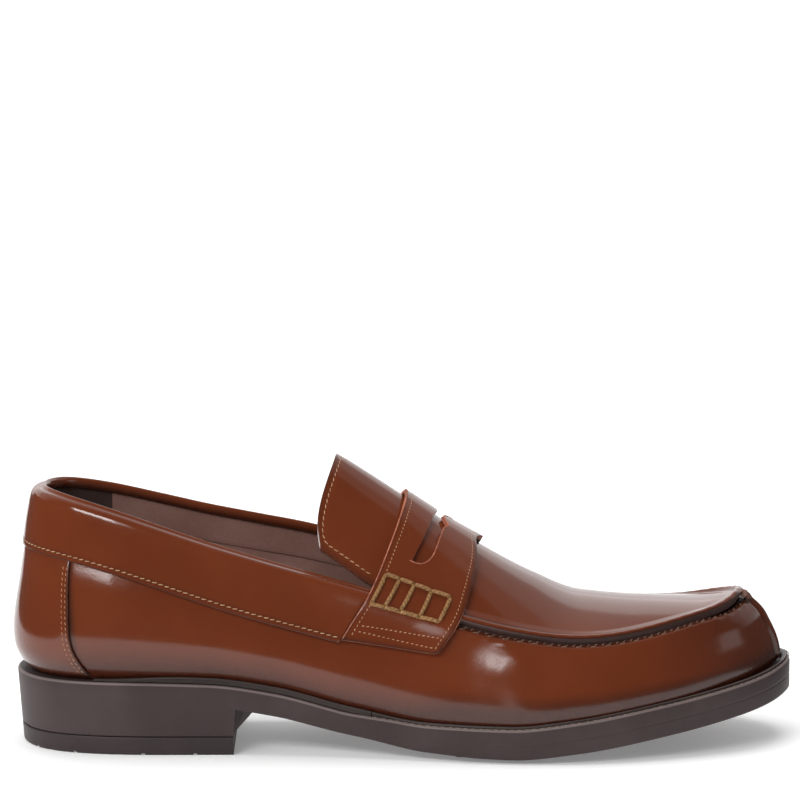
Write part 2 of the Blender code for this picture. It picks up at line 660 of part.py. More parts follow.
def build_welts(material):
    """Welt round the forepart, and a rand along each side of the waist up to the counter."""
    lateral, medial = side_columns(-1, []), side_columns(1, [])
    joint = {side: place_at(side, WELT_JOINT_X) for side in (-1, 1)}
    behind = {side: place_at(side, WELT_JOINT_X - GAP) for side in (-1, 1)}
    start = {side: place_at(side, RAND_START_X) for side in (-1, 1)}
    ring = np.concatenate([lateral, medial[-2::-1]])
    build_welt("welt", between(ring, joint[-1], joint[1]), material)
    build_welt("rand_lateral", between(lateral, start[-1], behind[-1]), material)
    build_welt("rand_medial", between(medial, start[1], behind[1]), material)


def sole_columns(side):
    """Columns of the sole unit: both edges of the heel breast and of each row of lugs are among them."""
    marks = [BREAST_X - BREAST_STEP, BREAST_X + BREAST_STEP]
    for lug in range(LUG_COUNT):
        start = LUG_FIRST_X + lug * LUG_PITCH
        marks += [start, start + LUG_LENGTH]
    lug_end = marks[-1]
    kept = []
    for place in side_columns(side, []):
        x = RIM(place)[0]
        near_breast = abs(x - BREAST_X) < MARK_ROOM
        near_lugs = LUG_FIRST_X - MARK_ROOM < x < lug_end + MARK_ROOM
        if not near_breast and not near_lugs:
            kept.append(place)
    return np.array(sorted(kept + [place_at(side, x) for x in marks], reverse=side > 0))


def side_bottom(x):
    """Lower edge of the sole's side ahead of the heel."""
    return seat(x) - side_depth(x)


def lug_bottom(x):
    """Face of the tread lugs: flat on the floor under the ball, following the sole elsewhere."""
    flat = (x > CONTACT_FROM_X) & (x < CONTACT_TO_X)
    return np.where(flat, 0.0, np.maximum(side_bottom(x) - LUG_HEIGHT, 0.0))


def sole_layer(lateral, medial, inset, height):
    """One layer of the sole unit, inset from its outline, with its height from x."""
    edges = [edge_line(places, inset(places), height) for places in (lateral, medial)]
    points = cross_points(*edges, ACROSS, True)
    points[:, 2] = height(points[:, 0])
    return points


def build_outsole(material):
    """Sole unit with welt seat, side groove, heel block, heel breast and tread lugs."""
    lateral, medial = sole_columns(-1), sole_columns(1)
    heel_base = LIFT_THICKNESS + GAP
    split = BREAST_X

    def base(x):
        return np.where(x < split, heel_base, side_bottom(x))

    def taper(places, height):
        flat = RIM(places)[:, :2]
        depth = seat(flat[:, 0]) - height(flat[:, 0])
        return np.where(flat[:, 0] < split, HEEL_TAPER * depth, 0.0)

    def groove(places):
        return SIDE_GROOVE_DEPTH * smooth_step(*SIDE_GROOVE_STARTS_X, RIM(places)[:, 0])

    def level(drop, extra):
        def height(x):
            return seat(x) - drop
        return sole_layer(lateral, medial, lambda places: taper(places, height) + extra(places), height)

    def none(places):
        return np.zeros(len(places))

    def low_edge(x):
        return base(x) + BOTTOM_ROUND

    layers = [
        level(0.0, lambda places: np.full(len(places), EDGE_CHAMFER)),
        level(EDGE_CHAMFER, none),
        level(SIDE_GROOVE_DROP - SIDE_GROOVE_HALF, none),
        level(SIDE_GROOVE_DROP, groove),
        level(SIDE_GROOVE_DROP + SIDE_GROOVE_HALF, none),
        sole_layer(lateral, medial, lambda places: taper(places, low_edge), low_edge),
        sole_layer(lateral, medial, lambda places: taper(places, base) + 0.5 * BOTTOM_ROUND, base),
    ]
    ramp_breast(layers[-1], lateral)
    faces = cross_faces(len(lateral), len(ACROSS), True)
    lug_places = [place_at(-1, LUG_FIRST_X + lug * LUG_PITCH) for lug in range(LUG_COUNT)]
    lug_rows = [int(np.argmin(abs(lateral - place))) for place in lug_places]

    def raise_lugs(shape, cap, number):
        cells = {frozenset(corner[number] for corner in face.verts): face for face in cap}
        for row in lug_rows:
            for cell in LUG_CELLS:
                corner = 1 + (row - 1) * len(ACROSS) + cell
                across = len(ACROSS)
                face = cells[frozenset((corner, corner + 1, corner + across, corner + across + 1))]
                middle = face.calc_center_median()
                for lug_corner in draw_out(shape, [face])[1]:
                    lug_corner.co = middle + (lug_corner.co - middle) * LUG_DRAFT
                    lug_corner.co.z = float(lug_bottom(lug_corner.co.x / MM + ORIGIN[0])) * MM

    return layered_solid("outsole", faces, layers, material, raise_lugs)


def ramp_breast(points, lateral):
    """Carry the waist's middle forward, so that the heel breast slopes into it inside its sharp edges."""
    ahead = [row for row, place in enumerate(lateral[:-1]) if RIM(place)[0] > BREAST_X]
    for row in ahead:
        for column, value in enumerate(ACROSS):
            index = 1 + (row - 1) * len(ACROSS) + column
            fade = math.exp(-(RIM(lateral[row])[0] - BREAST_X) / RAMP_FADE)
            points[index, 0] += BREAST_RAMP * (1.0 - value * value) * fade
            points[index, 2] = side_bottom(points[index, 0])


def build_heel_lift(material):
    """Top lift under the heel block, flat on the floor."""
    columns = [sole_columns(side) for side in (-1, 1)]
    lateral, medial = (places[RIM(places)[:, 0] < BREAST_X] for places in columns)
    layers = []
    for height, extra in ((0.0, LIFT_ROUND), (LIFT_ROUND, 0.0), (LIFT_THICKNESS, 0.0)):
        edges = []
        for places in (lateral, medial):
            inset = HEEL_TAPER * (SEAT_HEIGHT - height) + extra
            edges.append(edge_line(places, np.full(len(places), inset), lambda x: np.full(len(x), height)))
        layers.append(cross_points(*edges, ACROSS, False))
    return layered_solid("heel_top_lift", cross_faces(len(lateral), len(ACROSS), False), layers, material)


def build_insole(material):
    """Insole inside the upper, on the sole unit."""
    lateral, medial = (side_columns(side, [])[::2] for side in (-1, 1))
    lateral[-1] = medial[-1] = TOE_PLACE
    layers = []
    for height in (CLEARANCE, INSOLE_THICKNESS + CLEARANCE):
        edges = []
        for places in (lateral, medial):
            inset = RIM(places)[:, 2] + UPPER_WALL + CLEARANCE
            edges.append(edge_line(places, inset, lambda x: seat(x) + height))
        points = cross_points(*edges, ACROSS[::2] + ACROSS[-1:], True)
        points[:, 2] = seat(points[:, 0]) + height
        layers.append(points)
    faces = cross_faces(len(lateral), len(ACROSS[::2]) + 1, True)
    return layered_solid("insole", faces, layers, material)


def build_shoe():
    """Clear the scene and make every piece."""
    for old in list(bpy.data.objects):
        bpy.data.objects.remove(old, do_unlink=True)
    leather = surface_material("polished_leather", (0.20, 0.062, 0.030), 0.30)
    dark_leather = surface_material("burnished_leather", (0.13, 0.040, 0.022), 0.33)
    lining = surface_material("insole_leather", (0.17, 0.085, 0.060), 0.65)
    rubber = surface_material("sole_rubber", (0.040, 0.026, 0.021), 0.55)
    welt_rubber = surface_material("welt_rubber", (0.055, 0.034, 0.026), 0.50)
    build_outsole(rubber)
    build_heel_lift(rubber)
    build_welts(welt_rubber)
    build_insole(lining)
    build_upper(leather)
    build_counter(dark_leather)
    build_collar_band(leather)
    build_tongue(leather)
    build_strap(leather)


build_shoe()
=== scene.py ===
"""Looks of the penny loafer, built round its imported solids.

Shapes are worked out in millimetres on the shoe's last: X runs from heel to toe, -Y is the outer (lateral)
side, +Y the inner (medial) side and +Z up. Meshes are placed in the row frame, in metres.
"""
from __future__ import annotations

import logging
import math
from dataclasses import dataclass
from enum import Enum
from functools import cached_property
from typing import Any, Callable, NamedTuple, Sequence

import bmesh
import bpy
import numpy as np
from mathutils import Matrix, Vector


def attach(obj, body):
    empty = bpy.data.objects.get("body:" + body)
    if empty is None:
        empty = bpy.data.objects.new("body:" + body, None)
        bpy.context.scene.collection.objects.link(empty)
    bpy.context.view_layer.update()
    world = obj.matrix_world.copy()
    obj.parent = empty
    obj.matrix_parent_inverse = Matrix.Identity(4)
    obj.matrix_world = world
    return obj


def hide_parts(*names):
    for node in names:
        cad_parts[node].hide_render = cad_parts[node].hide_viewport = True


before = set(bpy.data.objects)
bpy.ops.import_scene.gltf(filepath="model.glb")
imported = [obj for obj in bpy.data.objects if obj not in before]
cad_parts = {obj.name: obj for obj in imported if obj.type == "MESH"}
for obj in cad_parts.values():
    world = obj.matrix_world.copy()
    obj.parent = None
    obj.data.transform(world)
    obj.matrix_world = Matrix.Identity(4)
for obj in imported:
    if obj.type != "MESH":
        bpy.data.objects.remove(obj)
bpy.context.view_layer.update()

LOG = logging.getLogger("loafer")
MM = 0.001
WELD = 1e-6

Array = np.ndarray
Mesh = bmesh.types.BMesh
Piece = bpy.types.Object
Material = bpy.types.Material
Pair = tuple[float, float]
Triple = tuple[float, float, float]
Colour = Triple
Surface = Callable[[Array, Array], Array]


class Side(Enum):
    """Sides of a right shoe, by the sign of Y."""

    LATERAL = -1
    MEDIAL = 1


class Slot(Enum):
    """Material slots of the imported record."""

    LEATHER = "polished_leather"
    LINING = "lining_leather"
    SOLE = "sole_rubber"
    WELT = "welt_rubber"


def unit(vectors: Array) -> Array:
    """Vectors scaled to a length of 1."""
    return vectors / np.linalg.norm(vectors, axis=-1, keepdims=True)


def soft_step(low: Array | float, high: Array | float, value: Array) -> Array:
    """Rise softly from 0 at low to 1 at high."""
    share = np.clip((np.asarray(value, float) - low) / (high - low), 0.0, 1.0)
    return share * share * (3.0 - 2.0 * share)


def arch(lateral: Array, medial: Array, top: Array, across: Array) -> Array:
    """Points of arched rows that cross the shoe.

    Args:
        lateral: Ends of the rows on the outer side.
        medial: Ends of the rows on the inner side.
        top: Crowns of the rows.
        across: Place on each row, from -1 at its outer end to 1 at its inner end.

    Returns:
        One point for each place.
    """
    across = np.asarray(across)[..., None]
    return top + across * (medial - lateral) / 2.0 + across ** 2 * ((lateral + medial) / 2.0 - top)


def surface_normal(surface: Surface, u: Array, v: Array, step: float = 0.002) -> Array:
    """Outward direction of a surface, from its slopes along both coordinates.

    Args:
        surface: Surface of a piece.
        u: Its first coordinates.
        v: Its second coordinates.
        step: Change of a coordinate over which the slope is taken.

    Returns:
        One direction for each place.
    """
    along = surface(u + step, v) - surface(u - step, v)
    across = surface(u, v + step) - surface(u, v - step)
    return unit(np.cross(along, across))


class RoundCurve:
    """Smooth closed curve through rows of values."""

    def __init__(self, knots: Array, rows: Array, period: float) -> None:
        """Work out the curve's bends at its knots.

        Args:
            knots: Place of each row.
            rows: Values that the curve passes through.
            period: Length of one turn.
        """
        self.knots, self.rows, self.period = knots, rows, period
        self.spans = np.diff(np.append(knots, knots[0] + period))
        count = len(knots)
        before = np.roll(self.spans, 1)
        matrix = np.diag(2.0 * (before + self.spans))
        order = np.arange(count)
        matrix[order, order - 1] += before
        matrix[order, (order + 1) % count] += self.spans
        rise = (np.roll(rows, -1, axis=0) - rows) / self.spans[:, None]
        self.bends = np.linalg.solve(matrix, 6.0 * (rise - np.roll(rise, 1, axis=0)))

    def __call__(self, place: Array) -> Array:
        """Values at places along the curve.

        Args:
            place: Places, which may lie outside one turn.

        Returns:
            One row of values for each place.
        """
        place = np.mod(np.asarray(place, float), self.period)
        i = np.clip(np.searchsorted(self.knots, place, side="right") - 1, 0, len(self.knots) - 1)
        j = (i + 1) % len(self.knots)
        span = self.spans[i][..., None]
        b = (place - self.knots[i])[..., None] / span
        a = 1.0 - b
        bend = (a ** 3 - a) * self.bends[i] + (b ** 3 - b) * self.bends[j]
        return a * self.rows[i] + b * self.rows[j] + bend * span ** 2 / 6.0


class Table:
    """Smooth curve through rows of a place and its values, which doesn't overshoot between them."""

    def __init__(self, rows: Sequence[Sequence[float]], *sizes: float) -> None:
        """Work out the curve's slopes at its rows.

        Args:
            rows: A place and its values in each row.
            sizes: Driving size of each column, where the rows hold hundredths of it.
        """
        table = np.asarray(rows, float)
        if sizes:
            table = table * np.asarray(sizes) / 100.0
        self.places, self.values = table[:, 0], table[:, 1:]
        spans = np.diff(self.places)[:, None]
        slopes = np.diff(self.values, axis=0) / spans
        self.tangents = np.vstack([slopes[:1], np.zeros_like(self.values[1:-1]), slopes[-1:]])
        before, after = slopes[:-1], slopes[1:]
        same_way = before * after > 0.0
        first, second = 2.0 * spans[1:] + spans[:-1], spans[1:] + 2.0 * spans[:-1]
        safe_before, safe_after = np.where(same_way, before, 1.0), np.where(same_way, after, 1.0)
        mean = (first + second) / (first / safe_before + second / safe_after)
        self.tangents[1:-1] = np.where(same_way, mean, 0.0)

    def __call__(self, place: Array) -> Array:
        """Values at places along the curve.

        Args:
            place: Places, held within the table's ends.

        Returns:
            One value, or one row of values, for each place.
        """
        place = np.clip(np.asarray(place, float), self.places[0], self.places[-1])
        i = np.clip(np.searchsorted(self.places, place, side="right") - 1, 0, len(self.places) - 2)
        span = (self.places[i + 1] - self.places[i])[..., None]
        s = (place - self.places[i])[..., None] / span
        start = (1.0 + 2.0 * s) * self.values[i] + s * span * self.tangents[i]
        end = (3.0 - 2.0 * s) * self.values[i + 1] + (s - 1.0) * span * self.tangents[i + 1]
        result = (1.0 - s) ** 2 * start + s * s * end
        return result[..., 0] if self.values.shape[1] == 1 else result


class Line:
    """Line through close points in space, such as a seam."""

    CHUNK = 4000

    def __init__(self, points: Array) -> None:
        """Keep the points and their distance along the line."""
        self.points = points
        self.run = np.append(0.0, np.cumsum(np.linalg.norm(np.diff(points, axis=0), axis=1)))

    def at(self, run: Array, values: Array | None = None) -> Array:
        """Points, or other rows of values, at distances along the line."""
        rows = self.points if values is None else values
        return np.stack([np.interp(run, self.run, column) for column in rows.T], axis=-1)

    def nearest(self, points: Array) -> tuple[Array, Array]:
        """Find how far points lie from the line.

        Args:
            points: Points in space.

        Returns:
            Distance of each point, and the distance along the line of the place nearest to it.
        """
        starts, steps = self.points[:-1], np.diff(self.points, axis=0)
        sizes = (steps ** 2).sum(axis=1)
        distances, runs = [], []
        for first in range(0, len(points), self.CHUNK):
            part = points[first:first + self.CHUNK]
            close = ((part ** 2).sum(axis=1)[:, None] - 2.0 * part @ self.points.T
                     + (self.points ** 2).sum(axis=1))
            index = close.argmin(axis=1)
            best = np.full(len(part), np.inf)
            best_run = np.zeros(len(part))
            for shift in (-1, 0):
                i = np.clip(index + shift, 0, len(starts) - 1)
                share = np.clip(((part - starts[i]) * steps[i]).sum(axis=1) / sizes[i], 0.0, 1.0)
                distance = np.linalg.norm(part - starts[i] - share[:, None] * steps[i], axis=1)
                run = self.run[i] + share * np.sqrt(sizes[i])
                best_run = np.where(distance < best, run, best_run)
                best = np.minimum(best, distance)
            distances.append(best)
            runs.append(best_run)
        return np.concatenate(distances), np.concatenate(runs)


class Section(NamedTuple):
    """Section of the shoe at one place round the sole's edge.

    sole_x and top_x are hundredths of the length, sole_y and top_y of the ball's width, top_z of the back's
    height. feather is how far the upper's lower edge lies inside the sole's edge. out and rise lead the wall
    away from that edge, lead and drop bring it to its top edge.
    """

    sole_x: float
    sole_y: float
    feather: float
    top_x: float
    top_y: float
    top_z: float
    out: float
    rise: float
    lead: float
    drop: float


@dataclass(frozen=True)
class Last:
    """Shape that the shoe is made on: sole outline, wall and instep."""

    length: float = 300.0
    ball_width: float = 101.0
    back_height: float = 97.6
    instep_height: float = 114.0
    seat_height: float = 28.6
    grip_x: float = 35.0
    sole_swell: float = 1.5
    fore_swell: float = -0.2
    heel_swell: float = 0.4
    quarter_swell: float = 2.1
    swell_fore: Pair = (120.0, 175.0)
    swell_heel: Pair = (40.0, 15.0)
    swell_peak: Pair = (0.2, -0.09)
    swell_end: Pair = (0.62, -0.1)
    quarter_back: Pair = (15.0, 24.0)
    quarter_waist: Pair = (92.0, 38.0)
    quarter_below: Pair = (14.0, 32.0)
    quarter_share: float = 0.57
    lip_height: float = 1.5
    lip_starts: Pair = (126.0, 150.0)
    gap: float = 0.3
    toe_section: int = 11
    sections: tuple[Section, ...] = (
        Section(0.0, 0.0, 5.0, 2.9, 0.0, 100.0, 7.0, 16.0, 6.0, 30.0),
        Section(3.0, -22.3, 4.6, 5.0, -16.3, 99.4, 7.5, 16.0, 5.5, 30.0),
        Section(12.0, -33.2, 4.2, 12.2, -25.7, 94.3, 7.0, 16.0, 5.0, 26.0),
        Section(25.0, -34.2, 4.0, 25.3, -28.7, 81.3, 6.0, 15.0, 5.5, 22.0),
        Section(37.3, -35.6, 4.0, 37.3, -29.2, 70.5, 6.0, 14.0, 6.5, 18.0),
        Section(48.3, -39.6, 4.0, 47.7, -32.2, 61.8, 5.5, 13.0, 6.0, 13.0),
        Section(58.3, -45.5, 4.0, 58.7, -36.1, 52.3, 4.5, 12.0, 6.0, 8.0),
        Section(67.7, -48.0, 4.0, 68.3, -37.1, 46.9, 4.0, 11.0, 6.5, 6.0),
        Section(79.3, -43.6, 4.0, 78.3, -32.7, 47.3, 3.5, 10.0, 6.5, 5.0),
        Section(90.0, -31.5, 4.0, 87.3, -22.3, 52.7, 3.0, 10.0, 6.5, 4.0),
        Section(96.9, -17.3, 4.0, 91.9, -12.4, 56.4, 2.5, 10.0, 7.0, 3.5),
        Section(99.7, -2.0, 4.0, 93.7, -1.5, 59.0, 2.5, 10.0, 7.0, 3.5),
        Section(98.1, 21.5, 4.0, 92.5, 15.0, 55.9, 2.5, 10.0, 7.0, 3.5),
        Section(91.3, 36.6, 4.0, 88.0, 27.2, 52.0, 3.0, 10.0, 6.5, 4.0),
        Section(81.0, 48.0, 4.0, 79.3, 36.6, 49.0, 3.5, 10.0, 6.5, 5.0),
        Section(71.0, 52.0, 4.0, 69.3, 39.6, 50.2, 4.0, 11.0, 6.5, 6.0),
        Section(59.3, 45.0, 4.0, 58.7, 37.1, 56.9, 5.5, 13.0, 6.0, 8.0),
        Section(48.3, 34.2, 4.0, 47.7, 31.7, 69.7, 7.0, 15.0, 6.0, 13.0),
        Section(37.3, 29.2, 4.0, 37.3, 29.2, 79.1, 8.0, 16.0, 6.5, 18.0),
        Section(25.0, 30.2, 4.0, 25.3, 29.2, 85.9, 7.0, 16.0, 5.5, 22.0),
        Section(12.0, 32.2, 4.2, 12.2, 25.7, 95.3, 7.0, 16.0, 5.0, 26.0),
        Section(3.0, 22.3, 4.6, 5.0, 16.3, 99.4, 7.5, 16.0, 5.5, 30.0),
    )
    seat_rows: tuple = (
        (0.0, 100.0), (13.3, 100.0), (25.0, 97.2), (33.3, 86.0), (43.3, 60.5), (53.3, 43.0),
        (63.3, 41.6), (71.7, 50.7), (81.7, 67.5), (90.0, 81.8), (96.7, 96.2), (100.3, 108.4),
    )
    crown_rows: tuple = (
        (39.3, 2.5, 100.0), (42.0, 2.5, 95.6), (50.0, 2.5, 82.0), (59.3, 2.0, 66.3), (66.7, 2.0, 55.6),
        (73.3, 2.0, 48.6), (80.0, 1.5, 47.4), (87.3, 0.5, 47.5), (93.7, -1.5, 50.5),
    )
    lead_rows: tuple = (
        (39.0, 12.5), (45.7, 12.5), (57.2, 6.8), (71.7, 4.0), (80.0, 2.5), (87.3, 1.0), (93.7, 0.0),
    )

    @cached_property
    def rim(self) -> RoundCurve:
        """Curve of all the sections' values round the sole's edge, in millimetres.

        Returns:
            Curve with one row of a section's values for each place.
        """
        sizes = np.ones(len(Section._fields))
        sizes[[0, 3]] = self.length / 100.0
        sizes[[1, 4]] = self.ball_width / 100.0
        sizes[5] = self.back_height / 100.0
        rows = np.array(self.sections) * sizes
        steps = np.linalg.norm(rows[:, :2] - np.roll(rows[:, :2], -1, axis=0), axis=1)
        return RoundCurve(np.append(0.0, np.cumsum(steps)[:-1]), rows, float(steps.sum()))

    @cached_property
    def seat(self) -> Table:
        """Height of the sole's top face along X."""
        return Table(self.seat_rows, self.length, self.seat_height)

    @cached_property
    def crown(self) -> Table:
        """Y and Z of the instep's crown along X."""
        return Table(self.crown_rows, self.length, self.ball_width, self.instep_height)

    @cached_property
    def crown_lead(self) -> Table:
        """How far the crown lies ahead of the two ends of a row across the instep."""
        return Table(self.lead_rows, self.length, 100.0)

    @cached_property
    def girth(self) -> float:
        """Length once round the sole's edge."""
        return self.rim.period

    @cached_property
    def toe_place(self) -> float:
        """Place of the toe seam."""
        return float(self.rim.knots[self.toe_section])

    @cached_property
    def origin(self) -> Array:
        """Floor point below the middle of the sole's outline, where the row frame starts."""
        edge, _ = self.outline(np.linspace(0.0, self.girth, 2000), 0.0)
        return np.append((edge.min(axis=0) + edge.max(axis=0)) / 2.0, 0.0)

    def metres(self, points: Array) -> Array:
        """Points of the last in the row frame."""
        return (np.asarray(points) - self.origin) * MM

    def outline(self, place: Array, inset: Array | float) -> tuple[Array, Array]:
        """Sole outline at places round the rim.

        Args:
            place: Places round the rim.
            inset: How far the outline is moved inwards.

        Returns:
            Points in plan, and the outward direction at each.
        """
        step = 0.05
        place = np.asarray(place, float)
        along = unit(self.rim(place + step)[..., :2] - self.rim(place - step)[..., :2])
        outward = np.stack([along[..., 1], -along[..., 0]], axis=-1)
        return self.rim(place)[..., :2] - outward * np.asarray(inset)[..., None], outward

    def controls(self, place: Array) -> tuple[Array, Array, Array, Array]:
        """Four points that lead the wall's curve from its lower edge to its top edge.

        Args:
            place: Places round the rim.

        Returns:
            Lower edge, the two points between, and top edge, each with one point for each place.
        """
        place = np.asarray(place, float)
        row = self.rim(place)
        foot, outward = self.outline(place, row[..., 2])
        low = np.concatenate([foot, (self.seat(foot[..., 0]) + self.gap)[..., None]], axis=-1)
        out = np.concatenate([outward, np.zeros_like(outward[..., :1])], axis=-1)
        up, top = np.array([0.0, 0.0, 1.0]), row[..., 3:6]
        low_pull = low + row[..., 6:7] * out + row[..., 7:8] * up
        return low, low_pull, top + row[..., 8:9] * out - row[..., 9:10] * up, top

    @staticmethod
    def on_curve(controls: tuple[Array, Array, Array, Array], share: Array | float) -> Array:
        """Points at shares of the height of the wall's curves.

        Args:
            controls: Four points that lead each curve.
            share: Shares of the curves' height.

        Returns:
            One point for each curve.
        """
        t = np.asarray(share, float)[..., None]
        low, low_pull, top_pull, top = controls
        lower = (1.0 - t) ** 2 * ((1.0 - t) * low + 3.0 * t * low_pull)
        return lower + t * t * (3.0 * (1.0 - t) * top_pull + t * top)

    def wall(self, place: Array, share: Array | float) -> Array:
        """Outer face of the upper's wall, from share 0 at its lower edge to 1 at its top edge."""
        return self.on_curve(self.controls(place), share)

    def wall_frame(self, place: Array, share: Array) -> tuple[Array, Array]:
        """Outward and upward directions of the wall.

        Args:
            place: Places round the rim.
            share: Heights on the wall.

        Returns:
            The wall's normal and its upward direction.
        """
        step, rise = 0.3, 0.01
        along = self.wall(place + step, share) - self.wall(place - step, share)
        curve = self.controls(place)
        ends = [self.on_curve(curve, np.clip(share + shift, 0.0, 1.0)) for shift in (-rise, rise)]
        upward = unit(ends[1] - ends[0])
        return unit(np.cross(along, upward)), upward

    def lip(self, x: Array) -> Array:
        """How far the sole's edge stands up in front of the welt."""
        return self.lip_height * soft_step(*self.lip_starts, x)

    def swell(self, place: Array, share: Array, points: Array) -> Array:
        """How far the pulled leather swells over the last: just above the sole, and under the collar band.

        Args:
            place: Places round the rim.
            share: Heights on the wall.
            points: The last's points there.

        Returns:
            Swell of the wall, which lies lower down in the forepart.
        """
        x = points[..., 0]
        fore = soft_step(*self.swell_fore, x)
        peak, end = (whole + change * fore for whole, change in (self.swell_peak, self.swell_end))
        size = self.sole_swell + self.fore_swell * fore + self.heel_swell * soft_step(*self.swell_heel, x)
        low = size * soft_step(0.0, peak, share) * soft_step(end, peak, share)
        below = self.wall(place, np.ones_like(share))[..., 2] - points[..., 2]
        quarter = soft_step(*self.quarter_back, x) * soft_step(*self.quarter_waist, x)
        quarter = quarter * np.clip(share / self.quarter_share, 0.0, 1.0)
        return low + self.quarter_swell * quarter * soft_step(*self.quarter_below, below)

    def share_below(self, place: Array, distance: Array | float) -> Array:
        """Height on the wall that lies a distance below its top edge.

        Args:
            place: Places round the rim.
            distance: Distance down the wall's face.

        Returns:
            Share of the wall's height.
        """
        place, distance = np.broadcast_arrays(np.asarray(place, float), np.asarray(distance, float))
        curve, shares = self.controls(place), np.linspace(1.0, 0.0, 41)
        points = np.stack([self.on_curve(curve, np.array(share)) for share in shares])
        spans = np.linalg.norm(np.diff(points, axis=0), axis=-1)
        lengths = np.concatenate([np.zeros((1, *place.shape)), np.cumsum(spans, axis=0)])
        index = np.clip((lengths <= distance).sum(axis=0) - 1, 0, len(shares) - 2)
        low = np.take_along_axis(lengths, index[None], 0)[0]
        span = np.take_along_axis(spans, index[None], 0)[0]
        part = np.clip((distance - low) / span, 0.0, 1.0)
        return shares[index] + part * (shares[index + 1] - shares[index])

    @cached_property
    def reaches(self) -> dict[tuple[Side, bool], tuple[Array, Array]]:
        """For each side, and for sole's edge or top edge: how far forward each place reaches.

        Returns:
            Rising x of the places on each side, and the places.
        """
        found = {}
        for side in Side:
            places = np.linspace(0.0 if side is Side.LATERAL else self.girth, self.toe_place, 1200)
            for top in (False, True):
                found[side, top] = np.maximum.accumulate(self.rim(places)[:, 3 if top else 0]), places
        return found

    def place_at(self, side: Side, x: Array | float, top: bool = False) -> Array:
        """Place on one side that reaches x, on the wall's top edge or else on the sole's edge."""
        return np.interp(x, *self.reaches[side, top])

    def both_at(self, x: float, top: bool = False) -> list[float]:
        """Places on the outer and the inner side that reach x."""
        return [float(self.place_at(side, x, top)) for side in Side]

    def instep(self, edge_x: Array, across: Array) -> Array:
        """Face of plug and instep, on rows between the wall's two top edges.

        Args:
            edge_x: Where each row's two ends lie.
            across: Place on the row, from -1 to 1.

        Returns:
            One point for each place.
        """
        ends = [self.wall(self.place_at(side, edge_x, True), np.ones_like(edge_x)) for side in Side]
        crown_x = edge_x + self.crown_lead(edge_x)
        top = np.concatenate([crown_x[..., None], self.crown(crown_x)], axis=-1)
        return arch(*ends, top, across)


LAST = Last()


class Value:
    """Number socket of a node, whose operators add Math nodes."""

    def __init__(self, tree: Tree, socket: bpy.types.NodeSocket) -> None:
        """Keep the socket and the tree it belongs to."""
        self.tree, self.socket = tree, socket

    def math(self, operation: str, *values: Value | float) -> Value:
        """Math node of these values."""
        return self.tree.node("ShaderNodeMath", {"operation": operation}, 0, dict(enumerate(values)))

    def __add__(self, other: Value | float) -> Value:
        """Sum of two values."""
        return self.math("ADD", self, other)

    def __mul__(self, other: Value | float) -> Value:
        """Product of two values."""
        return self.math("MULTIPLY", self, other)

    def __pow__(self, other: float) -> Value:
        """This value raised to a power."""
        return self.math("POWER", self, other)

    __radd__ = __add__
    __rmul__ = __mul__

    def ramp(self, low: float, high: float) -> Value:
        """Soft rise from 0 where this value is low to 1 where it is high."""
        settings = {"interpolation_type": "SMOOTHSTEP"}
        return self.tree.node("ShaderNodeMapRange", settings, 0, {0: self, 1: low, 2: high})


